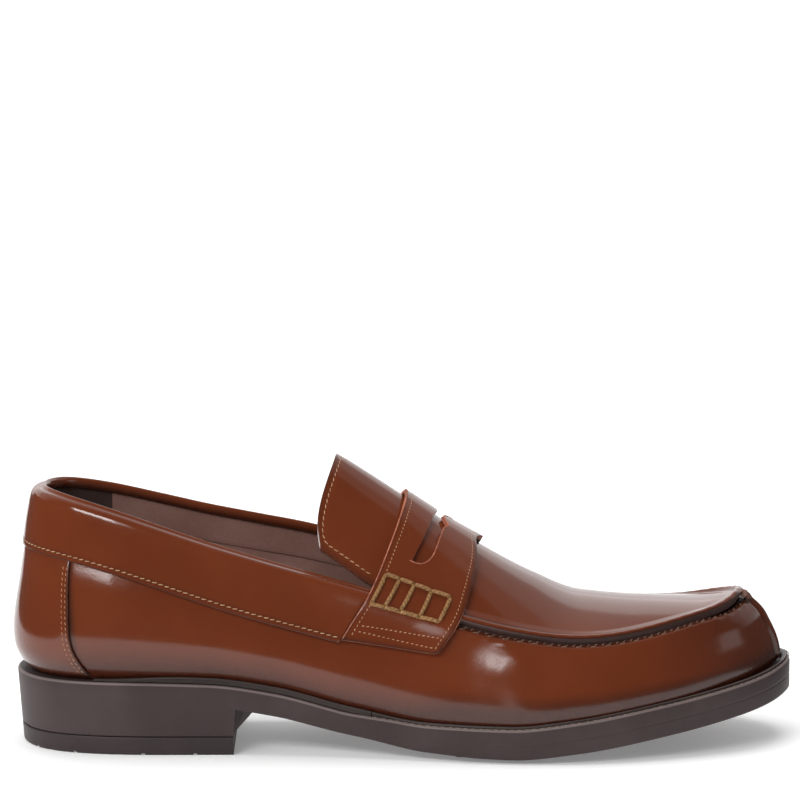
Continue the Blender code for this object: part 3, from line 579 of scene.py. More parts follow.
class Tree:
    """Node tree of one material with a Principled shader."""

    def __init__(self, name: str, roughness: float, coat: float = 0.0) -> None:
        """Start the material.

        Args:
            name: Name of the material.
            roughness: Roughness, where nothing varies it.
            coat: Weight of its coat of polish.
        """
        self.material = bpy.data.materials.new(name)
        self.material.use_nodes = True
        self.shader = self.material.node_tree.nodes["Principled BSDF"]
        self.shader.inputs["Roughness"].default_value = roughness
        self.shader.inputs["Coat Weight"].default_value = coat
        self.place = self.node("ShaderNodeTexCoord", {}, "Object", {})

    def node(self, kind: str, settings: dict, output: int | str, sockets: dict) -> Value:
        """Make a node.

        Args:
            kind: Type of the node.
            settings: Its own settings, which are set first.
            output: Name or number of the output that is used.
            sockets: Number or link of each input.

        Returns:
            The output's socket.
        """
        made = self.material.node_tree.nodes.new(kind)
        for name, setting in settings.items():
            setattr(made, name, setting)
        for name, value in sockets.items():
            self.join(made.inputs[name], value)
        return Value(self, made.outputs[output])

    def join(self, socket: bpy.types.NodeSocket, value: Any) -> None:
        """Give a socket a link, a colour or a number.

        Args:
            socket: Input of a node.
            value: What the input takes.
        """
        if isinstance(value, Value):
            self.material.node_tree.links.new(value.socket, socket)
        elif isinstance(value, tuple) and len(value) == 3 and socket.type == "RGBA":
            socket.default_value = (*value, 1.0)
        else:
            socket.default_value = value

    def feed(self, name: str, value: Any) -> None:
        """Give one of the shader's sockets its value."""
        self.join(self.shader.inputs[name], value)

    def noise(self, scale: float, detail: float = 2.0, place: Value | None = None) -> Value:
        """Soft noise with a number of bumps to the metre."""
        sockets = {"Vector": place or self.place, "Scale": scale, "Detail": detail}
        return self.node("ShaderNodeTexNoise", {}, "Fac", sockets)

    def cells(self, scale: float) -> Value:
        """Distance to the nearest of scattered pores."""
        return self.node("ShaderNodeTexVoronoi", {}, "Distance", {"Vector": self.place, "Scale": scale})

    def stretched(self, *scale: float) -> Value:
        """Object coordinates stretched along the axes."""
        return self.node("ShaderNodeMapping", {}, 0, {"Vector": self.place, "Scale": scale})

    def attribute(self, name: str) -> Value:
        """Value that the mesh keeps at each of its points."""
        return self.node("ShaderNodeAttribute", {"attribute_name": name}, "Fac", {})

    def mix(self, share: Value | float, first: Any, second: Any) -> Value:
        """Colour between two colours."""
        sockets = {"Factor": share, 6: first, 7: second}
        return self.node("ShaderNodeMix", {"data_type": "RGBA"}, 2, sockets)

    def bump(self, height: Value, depth: float, strength: float = 1.0) -> None:
        """Raise the surface by a height, in millimetres for a height of 1."""
        sockets = {"Height": height, "Distance": depth * MM, "Strength": strength}
        self.feed("Normal", self.node("ShaderNodeBump", {}, 0, sockets))


@dataclass(frozen=True)
class Leather:
    """Smooth polished leather, burnished dark and darkened with painted shade where the mesh says so.

    clouds, mottling, pores, wrinkles and scratches are their numbers to the metre.
    """

    name: str
    body: Colour
    warm: Colour
    burnt_and_shaded: Colour
    roughness: float = 0.125
    polish: float = 0.1
    polish_roughness: float = 0.06
    shine: float = 0.55
    clouds: float = 26.0
    mottling: float = 420.0
    pores: float = 1500.0
    wrinkles: float = 330.0
    scratches: float = 2600.0
    grain_depth: float = 0.05
    scuff_place: Triple = (0.0335, -0.045, 0.034)
    scuff_reach: Pair = (0.0155, 0.005)
    scuff_turn: float = 0.5

    def material(self) -> Material:
        """Make the material.

        Returns:
            Material with cloudy colour, fine pores and a coat of polish.
        """
        tree = Tree(self.name, self.roughness, self.polish)
        tree.feed("Coat Roughness", self.polish_roughness)
        tree.feed("Specular IOR Level", self.shine)
        cloud, mottle = tree.noise(self.clouds, 3.0), tree.noise(self.mottling, 3.0)
        hide = tree.mix(cloud.ramp(0.35, 0.7), self.body, self.warm)
        # Darker where the mesh marks burnish and painted shade.
        burnish_shade_and_sheen = tree.attribute("burnish_shade_and_sheen")
        tree.feed("Base Color", tree.mix(burnish_shade_and_sheen * (0.8 + 0.4 * mottle), hide, self.burnt_and_shaded))
        pores, wrinkles = tree.cells(self.pores), tree.noise(self.wrinkles, 4.0)
        ends = {0: tree.place, 1: self.scuff_place}
        away = tree.node("ShaderNodeVectorMath", {"operation": "DISTANCE"}, "Value", ends)
        scuffed = away.ramp(*self.scuff_reach)
        hairs = {"Vector": tree.place, "Rotation": (0.0, self.scuff_turn, 0.0), "Scale": (1.0, 1.0, 0.1)}
        scratches = tree.noise(self.scratches, 2.0, tree.node("ShaderNodeMapping", {}, 0, hairs))
        dull = 0.09 * burnish_shade_and_sheen + 0.45 * burnish_shade_and_sheen.ramp(0.87, 1.0) + 0.14 * scuffed
        tree.feed("Roughness", self.roughness - 0.04 + 0.08 * mottle + dull)
        tree.bump(0.5 * pores + wrinkles + 2.2 * scuffed * scratches, self.grain_depth, 0.35)
        return tree.material


@dataclass(frozen=True)
class CutEdge:
    """Raw cut edge of leather, with its fibres."""

    name: str
    pale: Colour
    dark: Colour

    def material(self) -> Material:
        """Make the material.

        Returns:
            Dull material with fibres in two tones.
        """
        tree = Tree(self.name, 0.75)
        fibres = tree.noise(900.0, 4.0)
        patches = tree.noise(90.0, 2.0)
        share = (0.6 * fibres + 0.7 * patches).ramp(0.5, 0.85)
        tree.feed("Base Color", tree.mix(share, self.pale, self.dark))
        tree.bump(fibres, 0.25, 0.6)
        return tree.material


@dataclass(frozen=True)
class LiningLeather:
    """Matt lining leather with a soft nap."""

    name: str
    body: Colour
    toned: Colour

    def material(self) -> Material:
        """Make the material.

        Returns:
            Matt material, rubbed paler in patches.
        """
        tree = Tree(self.name, 0.7)
        rub, nap = tree.noise(45.0, 4.0), tree.noise(1100.0, 3.0)
        tree.feed("Base Color", tree.mix((0.8 * rub + 0.3 * nap).ramp(0.4, 0.85), self.body, self.toned))
        tree.feed("Roughness", 0.6 + 0.2 * nap)
        tree.bump(nap + 0.4 * tree.cells(900.0), 0.12, 0.5)
        return tree.material


@dataclass(frozen=True)
class Rubber:
    """Satin moulded rubber."""

    name: str
    body: Colour
    worn: Colour
    roughness: float = 0.48
    # Pale colour where the mesh marks edges: a painted highlight along the sole's chamfer and the welt's top
    # edge.
    edge: Colour = (0.21, 0.165, 0.155)

    def material(self) -> Material:
        """Make the material.

        Returns:
            Satin material with a fine moulded skin and dusty patches.
        """
        tree = Tree(self.name, self.roughness)
        tree.feed("Specular IOR Level", 0.3)
        dust, skin = tree.noise(35.0, 5.0), tree.noise(1400.0, 2.0)
        body = tree.mix(dust.ramp(0.35, 0.75), self.body, self.worn)
        # Paler at the marked edges: a painted highlight.
        tree.feed("Base Color", tree.mix(tree.attribute("burnish_shade_and_sheen") * (0.4 + 0.6 * dust), body, self.edge))
        tree.feed("Roughness", self.roughness - 0.06 + 0.14 * dust)
        streaks = tree.noise(60.0, 3.0, tree.stretched(1.0, 1.0, 9.0))
        tree.bump(0.5 * skin + streaks, 0.08, 0.35)
        return tree.material


@dataclass(frozen=True)
class Yarn:
    """Waxed thread or cord, twisted where the mesh has a map of its turns."""

    name: str
    body: Colour
    shade: Colour
    turns: float = 0.0

    def material(self) -> Material:
        """Make the material.

        Returns:
            Dull material with flecks, and with strands wound round it.
        """
        tree = Tree(self.name, 0.6)
        height = flecks = tree.noise(1500.0, 3.0)
        if self.turns:
            turn = tree.node("ShaderNodeUVMap", {"uv_map": "turns"}, 0, {})
            around = tree.node("ShaderNodeSeparateXYZ", {}, 0, {0: turn})
            along = Value(tree, around.socket.node.outputs[1])
            wound = along * self.turns + around * 2.0
            strand = wound.math("PINGPONG", wound, 0.5)
            height = (strand * 2.0) ** 0.5 + 0.6 * flecks
            tree.bump(height, 0.10, 0.7)
            flecks = 0.75 * flecks + 0.25 * strand
        tree.feed("Base Color", tree.mix(flecks.ramp(0.3, 0.7), self.shade, self.body))
        return tree.material


class Finishes:
    """Materials of the shoe."""

    def __init__(self) -> None:
        """Make each material once."""
        # The third colour is the dark of burnish and of painted shade.
        self.leather = Leather(
            "brown_leather", (0.122, 0.0245, 0.0068), (0.142, 0.029, 0.0082), (0.030, 0.009, 0.0055)
        ).material()
        self.raw_edge = CutEdge("raw_edge", (0.50, 0.17, 0.095), (0.20, 0.06, 0.035)).material()
        self.dark_edge = CutEdge("inked_edge", (0.14, 0.055, 0.034), (0.055, 0.022, 0.016)).material()
        self.lining = LiningLeather("lining", (0.24, 0.125, 0.098), (0.33, 0.19, 0.155)).material()
        self.sole = Rubber("sole_rubber", (0.041, 0.026, 0.026), (0.058, 0.040, 0.039)).material()
        self.lift = Rubber("lift_rubber", (0.032, 0.021, 0.021), (0.046, 0.033, 0.032)).material()
        self.welt = Rubber("welt_rubber", (0.024, 0.016, 0.014), (0.040, 0.028, 0.024), 0.42).material()
        self.tan_thread = Yarn("tan_thread", (0.54, 0.33, 0.18), (0.31, 0.165, 0.08)).material()
        self.orange_thread = Yarn("orange_thread", (0.46, 0.25, 0.125), (0.24, 0.11, 0.05)).material()
        self.dull_thread = Yarn("dull_thread", (0.26, 0.19, 0.15), (0.12, 0.085, 0.07)).material()
        self.seam_thread = Yarn("seam_thread", (0.20, 0.125, 0.085), (0.085, 0.045, 0.03)).material()
        self.cord = Yarn("mustard_cord", (0.44, 0.235, 0.085), (0.15, 0.068, 0.020), 0.6).material()
        self.heel_grip = LiningLeather("heel_grip", (0.045, 0.024, 0.019), (0.078, 0.044, 0.034)).material()


FINISH = Finishes()


@dataclass
class Sheet:
    """Grid of faces laid over a surface of the shoe.

    columns and rows are the surface's two coordinates, and their cross product points outwards. The next
    field
    gives the tone painted at each point: dark burnish and painted shade on leather, and a pale painted
    highlight along rubber edges. hole says which cells are cut out, and lined which of the piece's finishes a
    cell takes. turns keeps both coordinates as a map.
    """

    columns: Array
    rows: Array
    surface: Surface
    burnish_shade_and_sheen: Surface | None = None
    hole: Callable[[float, float], bool] | None = None
    lined: Callable[[float, float], int] | None = None
    turns: bool = False

    def build(self, shape: Mesh | None = None) -> Mesh:
        """Lay the grid and weld its seams and poles.

        Args:
            shape: Mesh that the sheet is added to, or None for a new one.

        Returns:
            The mesh.
        """
        shape = shape or bmesh.new()
        across, up = len(self.columns) - 1, len(self.rows) - 1
        layers = shape.verts.layers.float
        dark = layers.get("burnish_shade_and_sheen") or layers.new("burnish_shade_and_sheen")
        maps = shape.loops.layers.uv
        turns = maps.get("turns") or maps.new("turns") if self.turns else None
        corners = bmesh.ops.create_grid(shape, x_segments=across, y_segments=up, size=1.0)["verts"]
        flat = np.array([corner.co[:2] for corner in corners])
        column = np.rint((flat[:, 0] + 1.0) / 2.0 * across).astype(int)
        row = np.rint((flat[:, 1] + 1.0) / 2.0 * up).astype(int)
        u, v = self.columns[column], self.rows[row]
        points = LAST.metres(self.surface(u, v))
        toned = self.burnish_shade_and_sheen(u, v) if self.burnish_shade_and_sheen else np.zeros(len(u))
        order = {}
        for index, (corner, point, value) in enumerate(zip(corners, points, toned)):
            corner.co, corner[dark] = point, value
            order[corner] = index
        sorted_out = self.hole or self.lined or self.turns
        faces = {face for corner in corners for face in corner.link_faces} if sorted_out else ()
        cut = []
        for face in faces:
            at = [order[corner] for corner in face.verts]
            if self.hole and self.hole(u[at].mean(), v[at].mean()):
                cut.append(face)
            if self.lined:
                face.material_index = self.lined(u[at].mean(), v[at].mean())
            if turns:
                for loop, index in zip(face.loops, at):
                    loop[turns].uv = u[index], v[index]
        bmesh.ops.delete(shape, geom=cut, context="FACES")
        corners = [corner for corner in corners if corner.is_valid]
        bmesh.ops.remove_doubles(shape, verts=corners, dist=WELD)
        return shape


def link_mesh(name: str, shape: Mesh, materials: Sequence[Material]) -> Piece:
    """Put a mesh into the scene.

    Args:
        name: Name of the new object.
        shape: Its mesh, which is used up.
        materials: Its finishes.

    Returns:
        The object.
    """
    mesh = bpy.data.meshes.new(name)
    shape.to_mesh(mesh)
    shape.free()
    for material in materials:
        mesh.materials.append(material)
    made = bpy.data.objects.new(name, mesh)
    bpy.context.scene.collection.objects.link(made)
    return made


def make_piece(
    name: str,
    shape: Mesh,
    materials: Sequence[Material],
    nodes: Sequence[str] = (),
    sharp: float | None = None,
) -> Piece:
    """Turn a mesh into a piece of the shoe.

    Args:
        name: Name of the piece.
        shape: Its mesh, which is used up.
        materials: Its finishes.
        nodes: Solids that it stands for.
        sharp: Angle in degrees above which an edge stays sharp.

    Returns:
        The piece, riding on the shoe's only body.
    """
    piece = link_mesh(name, shape, materials)
    piece.data.shade_smooth()
    if sharp is not None:
        piece.data.set_sharp_from_angle(angle=math.radians(sharp))
    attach(piece, "root")
    if nodes:
        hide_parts(*nodes)
    LOG.info("%s: %d faces", name, len(piece.data.polygons))
    return piece


def make_solid(
    name: str, shape: Mesh, material: Material, node: str, sharp: float
) -> Piece:
    """Turn the faces of a closed mesh outwards and make it a piece of one finish.

    Args:
        name: Name of the piece.
        shape: Its mesh, which is used up.
        material: Its finish.
        node: Solid that it stands for.
        sharp: Angle in degrees above which an edge stays sharp.

    Returns:
        The piece.
    """
    bmesh.ops.recalc_face_normals(shape, faces=shape.faces[:])
    return make_piece(name, shape, (material,), [node], sharp)


def thicken(
    piece: Piece, thickness: float, inner: int = 0, rim: int = 0, edge: float = 0.25
) -> None:
    """Give a sheet its thickness, inwards from its outer face, with softened edges.

    Args:
        piece: Sheet of leather.
        thickness: Thickness of the leather.
        inner: Number of the finish on the inner face.
        rim: Number of the finish on the cut edge.
        edge: Rounding of the edges.
    """
    wall = piece.modifiers.new("thickness", "SOLIDIFY")
    wall.thickness = thickness * MM
    wall.offset = -1.0
    wall.material_offset = inner
    wall.material_offset_rim = rim
    soft = piece.modifiers.new("soft_edge", "BEVEL")
    soft.width = edge * MM
    soft.segments = 2
    soft.limit_method = "ANGLE"
    soft.angle_limit = math.radians(50.0)


@dataclass(frozen=True)
class Stitching:
    """Row of stitches: how far apart they are, and the size of each."""

    pitch: float = 2.45
    length: float = 2.1
    thick: float = 0.5
    slant: float = 13.0
    sink: float = 0.08

    def sew(self, shape: Mesh, points: Array, normals: Array) -> None:
        """Sew stitches along a line on the leather.

        Args:
            shape: Mesh that the stitches are added to.
            points: Points along the line.
            normals: Outward direction of the leather at each point.
        """
        line = Line(points)
        count = max(int(line.run[-1] / self.pitch), 1)
        for run in (np.arange(count) + 0.5) * line.run[-1] / count:
            ends = line.at(np.array([run - 0.3, run + 0.3]))
            normal = unit(line.at(np.array([run]), normals)[0])
            ahead = unit(ends[1] - ends[0])
            side = unit(np.cross(normal, ahead))
            lean = math.radians(self.slant)
            ahead = math.cos(lean) * ahead + math.sin(lean) * side
            side = np.cross(normal, ahead)
            middle = LAST.metres(ends.mean(axis=0) - normal * self.sink)
            axes = np.column_stack([side * self.thick, normal * self.thick, ahead * self.length]) * MM / 2.0
            place = Matrix.Translation(middle) @ Matrix(axes.tolist()).to_4x4()
            bmesh.ops.create_uvsphere(shape, u_segments=6, v_segments=5, radius=1.0, matrix=place)

    def sew_on(
        self, shape: Mesh, surface: Surface, u: Array, v: Array, step: float = 0.002
    ) -> None:
        """Sew stitches along a line given by a surface's coordinates."""
        self.sew(shape, surface(u, v), surface_normal(surface, u, v, step))


def lay_tube(shape: Mesh, line: Line, normals: Array, radius: float, sides: int = 10) -> None:
    """Lay a round cord along a line, with rounded ends.

    Args:
        shape: Mesh that the cord is added to.
        line: Middle line of the cord.
        normals: Outward direction of the leather at each point of the line.
        radius: Radius of the cord.
        sides: Number of faces round it.
    """
    full = line.run[-1]

    def tube(turn: Array, run: Array) -> Array:
        """Round face of the cord.

        Args:
            turn: Share of a turn round it.
            run: Distance along it.

        Returns:
            One point for each place.
        """
        up = unit(line.at(run, normals))
        ahead = unit(line.at(np.minimum(run + 0.2, full)) - line.at(np.maximum(run - 0.2, 0.0)))
        beside = unit(np.cross(up, ahead))
        cap = np.clip(np.minimum(run, full - run) / radius, 0.0, 1.0)
        size = (radius * np.sqrt(1.0 - (1.0 - cap) ** 2))[:, None]
        angle = (2.0 * math.pi * turn)[:, None]
        return line.at(run) + size * (np.cos(angle) * beside + np.sin(angle) * np.cross(ahead, beside))

    ends = radius * np.array([0.0, 0.15, 0.5, 1.0])
    between = np.linspace(radius, full - radius, max(int(full / 0.8), 6))[1:-1]
    runs = np.concatenate([ends, between, full - ends[::-1]])
    Sheet(np.linspace(0.0, 1.0, sides + 1), runs, tube, turns=True).build(shape)


def steps(*stops: tuple[float, int]) -> Array:
    """Row of numbers between stops, each with the count of steps that lead to it from the one before.

    Args:
        stops: Each stop's number and count of steps.

    Returns:
        All the numbers, in order.
    """
    parts = [np.array([stops[0][0]])]
    for (start, _), (end, count) in zip(stops, stops[1:]):
        parts.append(np.linspace(start, end, count + 1)[1:])
    return np.concatenate(parts)


class Crease(NamedTuple):
    """Soft trough in the upper's wall, or a ridge where its depth is below 0.

    It runs between two places, each an x and a distance below the top edge.
    """

    side: Side
    start: Pair
    end: Pair
    depth: float
    half: float


@dataclass
class Upper:
    """Upper: wall with the toe seam, plug with its rolled seam, and the lining."""

    leather: float = 1.5
    lining: float = 0.6
    wall_thickness: float = 2.2
    throat_x: float = 147.5
    tip_x: float = 281.1
    tip_reach: float = 0.93
    far_ridge: Pair = (276.0, 255.0)
    toe_shift: float = 3.5
    toe_draw: float = 1.3
    draw_reach: Pair = (45.0, 5.0)
    toe_round: float = 2.6
    round_reach: Pair = (32.0, 4.0)
    seam_zone: float = 7.0
    seam_starts: Pair = (163.0, 169.0)
    wall_pucker: float = 0.14
    plug_pucker: float = 0.07
    far_drop: float = 0.62
    toe_dark: float = 0.55
    toe_dark_reach: Pair = (70.0, 12.0)
    groove_width: float = 1.7
    seam_width: float = 2.1
    groove_row: Stitching = Stitching(5.6, 2.6, 0.8, 12.0, 0.1)
    whip_row: Stitching = Stitching(2.8, 1.9, 0.7, 40.0, 0.1)
    tack: Stitching = Stitching(9.0, 6.4, 3.0, 0.0, 0.5)
    lining_end_x: float = 172.0
    wall_roll: tuple = (
        (0.0, -1.0), (0.9, -0.95), (1.6, -0.7), (2.3, 0.0), (3.0, 0.28), (3.9, 0.26), (5.4, 0.08), (7.0, 0.0),
    )
    plug_roll: tuple = (
        (0.0, -1.2), (0.25, 0.0), (0.7, 1.1), (1.3, 1.65), (1.9, 1.8), (2.7, 1.55), (3.2, 0.95), (3.6, 0.5),
        (4.0, 0.5), (5.0, 0.35), (7.0, 0.0),
    )
    inner_lip: tuple = ((0.0, -0.9), (0.3, 0.2), (0.8, 1.25), (1.5, 1.55), (2.4, 1.3), (3.6, 0.6), (6.0, 0.0))
    outer_lip: tuple = ((0.0, -0.9), (0.5, -0.75), (1.1, -0.1), (1.8, 0.2), (3.0, 0.12), (5.0, 0.0))
    creases: tuple[Crease, ...] = (
        Crease(Side.LATERAL, (198.0, 5.0), (184.0, 25.0), -1.45, 12.0),
        Crease(Side.LATERAL, (183.0, 11.0), (180.0, 21.0), 0.06, 1.5),
        Crease(Side.LATERAL, (188.0, 9.0), (184.0, 21.0), 0.06, 1.5),
        Crease(Side.LATERAL, (193.0, 9.0), (189.0, 18.0), 0.05, 1.6),
        Crease(Side.MEDIAL, (187.0, 5.0), (174.0, 28.0), -0.9, 11.0),
        Crease(Side.MEDIAL, (181.0, 10.0), (177.0, 20.0), 0.10, 1.6),
    )

    @cached_property
    def seam(self) -> Line:
        """Top edge of the wall round the plug, from one end of the strap to the other.

        Returns:
            Line through close points.
        """
        ends = LAST.both_at(self.throat_x, True)
        places = np.linspace(*ends, 900)
        return Line(LAST.wall(places, np.ones(len(places))))

    @cached_property
    def toe_seam(self) -> Line:
        """Seam from the tip of the plug down to the welt."""
        shares = np.linspace(0.0, 1.0, 60)
        return Line(LAST.wall(LAST.toe_place - self.toe_shift * (1.0 - shares ** 3), shares))

    def pucker(self, run: Array) -> Array:
        """Wave along the plug's seam, 1 at each stitch and -1 between them."""
        return np.cos(2.0 * math.pi * run / self.groove_row.pitch)

    def wall_share(self, place: Array, height: Array) -> Array:
        """Share of the wall's height for a height from 0 to 1 below the seam and 1 to 2 along it.

        Args:
            place: Places round the rim.
            height: Heights on the wall's grid, from 0 to 2.

        Returns:
            Shares of the wall's height.
        """
        zone = LAST.share_below(place, self.seam_zone)
        near = LAST.share_below(place, self.seam_zone * np.clip(2.0 - height, 0.0, 1.0))
        return np.where(height < 1.0, zone * height, near)

    def wall_lift(self, place: Array, share: Array, points: Array) -> Array:
        """How far the wall's face stands off the last.

        Args:
            place: Places round the rim.
            share: Heights on the wall.
            points: The last's points there.

        Returns:
            Height of seams, puckers and creases over the last.
        """
        raised = soft_step(*self.seam_starts, LAST.rim(place)[..., 3])
        distance, run = self.seam.nearest(points)
        roll = Table(self.wall_roll)(distance)
        edge = np.exp(-((distance - 3.0) / 1.3) ** 2)
        lift = raised * (roll - self.wall_pucker * edge * self.pucker(run))
        toe_distance, _ = self.toe_seam.nearest(points)
        inner = place > LAST.toe_place - self.toe_shift * (1.0 - share ** 3)
        lips = np.where(inner, Table(self.inner_lip)(toe_distance), Table(self.outer_lip)(toe_distance))
        lift = lift + lips * soft_step(0.02, 0.15, share) * soft_step(0.9, 2.4, distance)
        lift = lift - self.toe_draw * soft_step(*self.draw_reach, toe_distance) * soft_step(0.9, 0.5, share)
        lift = lift - self.toe_round * soft_step(*self.round_reach, toe_distance) * soft_step(0.6, 1.0, share)
        for crease in self.creases:
            lift = lift - self.crease_depth(crease, points)
        return lift + LAST.swell(place, share, points) * soft_step(25.0, 60.0, toe_distance)

    def crease_depth(self, crease: Crease, points: Array) -> Array:
        """Depth of one crease, with the leather swelling on both sides of its trough.

        Args:
            crease: The crease.
            points: The last's points.

        Returns:
            Depth at each point.
        """
        xs, belows = np.linspace(crease.start, crease.end, 30).T
        places = LAST.place_at(crease.side, xs, True)
        line = Line(LAST.wall(places, LAST.share_below(places, belows)))
        distance, run = line.nearest(points)
        part = (distance / crease.half) ** 2
        fade = soft_step(0.0, 0.3, run / line.run[-1]) * (1.0 - soft_step(0.6, 1.0, run / line.run[-1]))
        return crease.depth * (1.0 - part) * np.exp(-part) * (0.35 + 0.65 * fade)

    def wall_face(self, place: Array, height: Array) -> Array:
        """Outer face of the wall.

        Args:
            place: Places round the rim.
            height: Heights on the wall's grid, from 0 to 2.

        Returns:
            One point for each place.
        """
        share = self.wall_share(place, height)
        points = LAST.wall(place, share)
        normal, _ = LAST.wall_frame(place, share)
        return points + normal * self.wall_lift(place, share, points)[:, None]

    def wall_burnish_and_shade(self, place: Array, height: Array) -> Array:
        """Darker leather: burnish round the toe, burnish and painted shade along the sole and beside the
        seams, and painted shade in the groove in front of the counter.

        Args:
            place: Places round the rim.
            height: Heights on the wall's grid, from 0 to 2.

        Returns:
            How dark the leather is burnished and shaded, from 0 to 1.
        """
        share = self.wall_share(place, height)
        points = LAST.wall(place, share)
        distance, _ = self.seam.nearest(points)
        toe_distance, _ = self.toe_seam.nearest(points)
        behind = points[:, 0] - 0.5 - Table(Counter.edge_rows)(share)
        # Painted shade in the groove in front of the counter's edge.
        groove = np.exp(-(behind / self.groove_width) ** 2)
        toe = self.toe_dark * soft_step(*self.toe_dark_reach, toe_distance)
        fore = soft_step(130.0, 180.0, points[:, 0])
        # Burnish and painted shade low on the wall, along the sole.
        sole = (0.75 + 0.15 * fore) * soft_step(0.42, 0.05, np.minimum(height, 1.0) - 0.12 * fore)
        raised = soft_step(*self.seam_starts, points[:, 0])
        # Burnish and painted shade in the groove beside the plug's seam.
        seam = raised * np.exp(-(distance / self.seam_width) ** 2)
        toned = np.clip(np.maximum(toe, sole) + 0.4 * toe * sole, 0.0, 0.8)
        tip = soft_step(6.0, 3.0, toe_distance) * soft_step(6.0, 3.5, distance)
        return np.max([toned, groove, seam, tip], axis=0)

    def plug_face(self, reach: Array, across: Array) -> Array:
        """Outer face of the plug, from the throat at 0 to its tip at 1.

        Args:
            reach: Share of the plug's length.
            across: Place across it, from -1 to 1.

        Returns:
            One point for each place.
        """
        points = self.plug_base(reach, across)
        near = np.minimum(reach, self.tip_reach)
        tip = surface_normal(self.plug_base, np.array([self.tip_reach]), np.zeros(1))
        share = soft_step(self.tip_reach, 1.0, reach)[:, None]
        normal = unit(surface_normal(self.plug_base, near, across) * (1.0 - share) + tip * share)
        distance, run = self.seam.nearest(points)
        raised = soft_step(*self.seam_starts, points[:, 0])
        low_side = soft_step(0.0, 8.0, points[:, 1]) * soft_step(*self.far_ridge, points[:, 0])
        ridge = np.exp(-((distance - 1.6) / 1.1) ** 2)
        between = self.pucker(run + 0.5 * self.groove_row.pitch)
        lift = Table(self.plug_roll)(distance) + self.plug_pucker * ridge * between
        return points + normal * (raised * lift * (1.0 - self.far_drop * low_side))[:, None]

    def plug_base(self, reach: Array, across: Array) -> Array:
        """The last's own face under the plug."""
        edge_x = self.throat_x + (self.tip_x - self.throat_x) * np.sin(reach * math.pi / 2.0)
        return LAST.instep(edge_x, across)

    def plug_burnish_and_shade(self, reach: Array, across: Array) -> Array:
        """Darker leather on the outer face of the rolled seam, and painted shade in the crease behind it.

        Args:
            reach: Share of the plug's length.
            across: Place across it, from -1 to 1.

        Returns:
            How dark the leather is painted, from 0 to 1.
        """
        points = self.plug_base(reach, across)
        distance, _ = self.seam.nearest(points)
        # Painted shade in the crease behind the rolled seam.
        crease = 0.7 * np.exp(-((distance - 3.8) / 0.45) ** 2)
        outer = soft_step(1.7, 0.5, distance)
        return np.clip(np.maximum(outer, crease), 0.0, 1.0) * soft_step(*self.seam_starts, points[:, 0])

    def lining_face(self, place: Array, share: Array) -> Array:
        """Inner face of the lining, up to just below the wall's top edge.

        Args:
            place: Places round the rim.
            share: Shares of its height.

        Returns:
            One point for each place.
        """
        height = share * LAST.share_below(place, 0.8)
        normal, _ = LAST.wall_frame(place, height)
        return LAST.wall(place, height) - normal * self.wall_thickness

    def gripped(self, place: float, share: float) -> int:
        """Finish of a cell of the lining, which is the dark heel grip's at the back."""
        return 2 if LAST.rim(np.array(place))[3] < LAST.grip_x else 0

    def build(self) -> list[Piece]:
        """Make wall, plug, lining, the seam's stitches and the toe tack.

        Returns:
            The pieces.
        """
        toe, fine = LAST.toe_place, 6.0
        ring = steps((0.0, 0), (toe - fine, 240), (toe + fine, 44), (LAST.girth, 240))
        heights = steps((0.0, 0), (1.0, 30), (2.0, 24))
        half = np.linspace(-1.0, 1.0, 121)
        rows = half * (1.5 - 0.5 * half ** 2)
        sheets = {
            "vamp_and_quarters": Sheet(ring, heights, self.wall_face, self.wall_burnish_and_shade),
            "plug": Sheet(np.linspace(0.0, 1.0, 151), rows, self.plug_face, self.plug_burnish_and_shade),
        }
        finishes = (FINISH.leather, FINISH.lining, FINISH.dark_edge)
        pieces = []
        for name, sheet in sheets.items():
            pieces.append(make_piece(name, sheet.build(), finishes, ["upper"]))
            thicken(pieces[-1], self.leather, 1, 2)
        ends = LAST.both_at(self.lining_end_x, True)
        around = np.linspace(ends[1] - LAST.girth, ends[0], 221)
        inside = Sheet(around[::-1], np.linspace(0.0, 1.0, 31), self.lining_face, lined=self.gripped)
        finishes = (FINISH.lining, FINISH.lining, FINISH.heel_grip)
        lining = make_piece("quarter_lining", inside.build(), finishes, ["upper"])
        thicken(lining, self.lining)
        return [*pieces, lining, self.seam_stitches(), self.toe_tack()]

    def toe_tack(self) -> Piece:
        """Dark pinch of leather where the plug's seam turns down into the toe seam.

        Returns:
            The piece.
        """
        shares = np.array([0.9, 1.0])
        places = LAST.toe_place - self.toe_shift * (1.0 - shares ** 3)
        normals, _ = LAST.wall_frame(places, shares)
        shape = bmesh.new()
        self.tack.sew(shape, LAST.wall(places, shares), normals)
        return make_piece("toe_tack", shape, (FINISH.dark_edge,))

    def seam_stitches(self) -> Piece:
        """Long stitches in the groove below the plug's seam, and short slanting ones just above them.

        Returns:
            All of the stitches as one piece.
        """
        shape = bmesh.new()
        ends = LAST.both_at(self.seam_starts[1], True)
        places = np.linspace(*ends, 500)
        height = np.full(500, 2.0 - 2.0 / self.seam_zone)
        self.groove_row.sew_on(shape, self.wall_face, places, height, 0.01)
        self.whip_row.sew_on(shape, self.wall_face, places, height + 0.16, 0.01)
        return make_piece("seam_stitches", shape, (FINISH.seam_thread,))


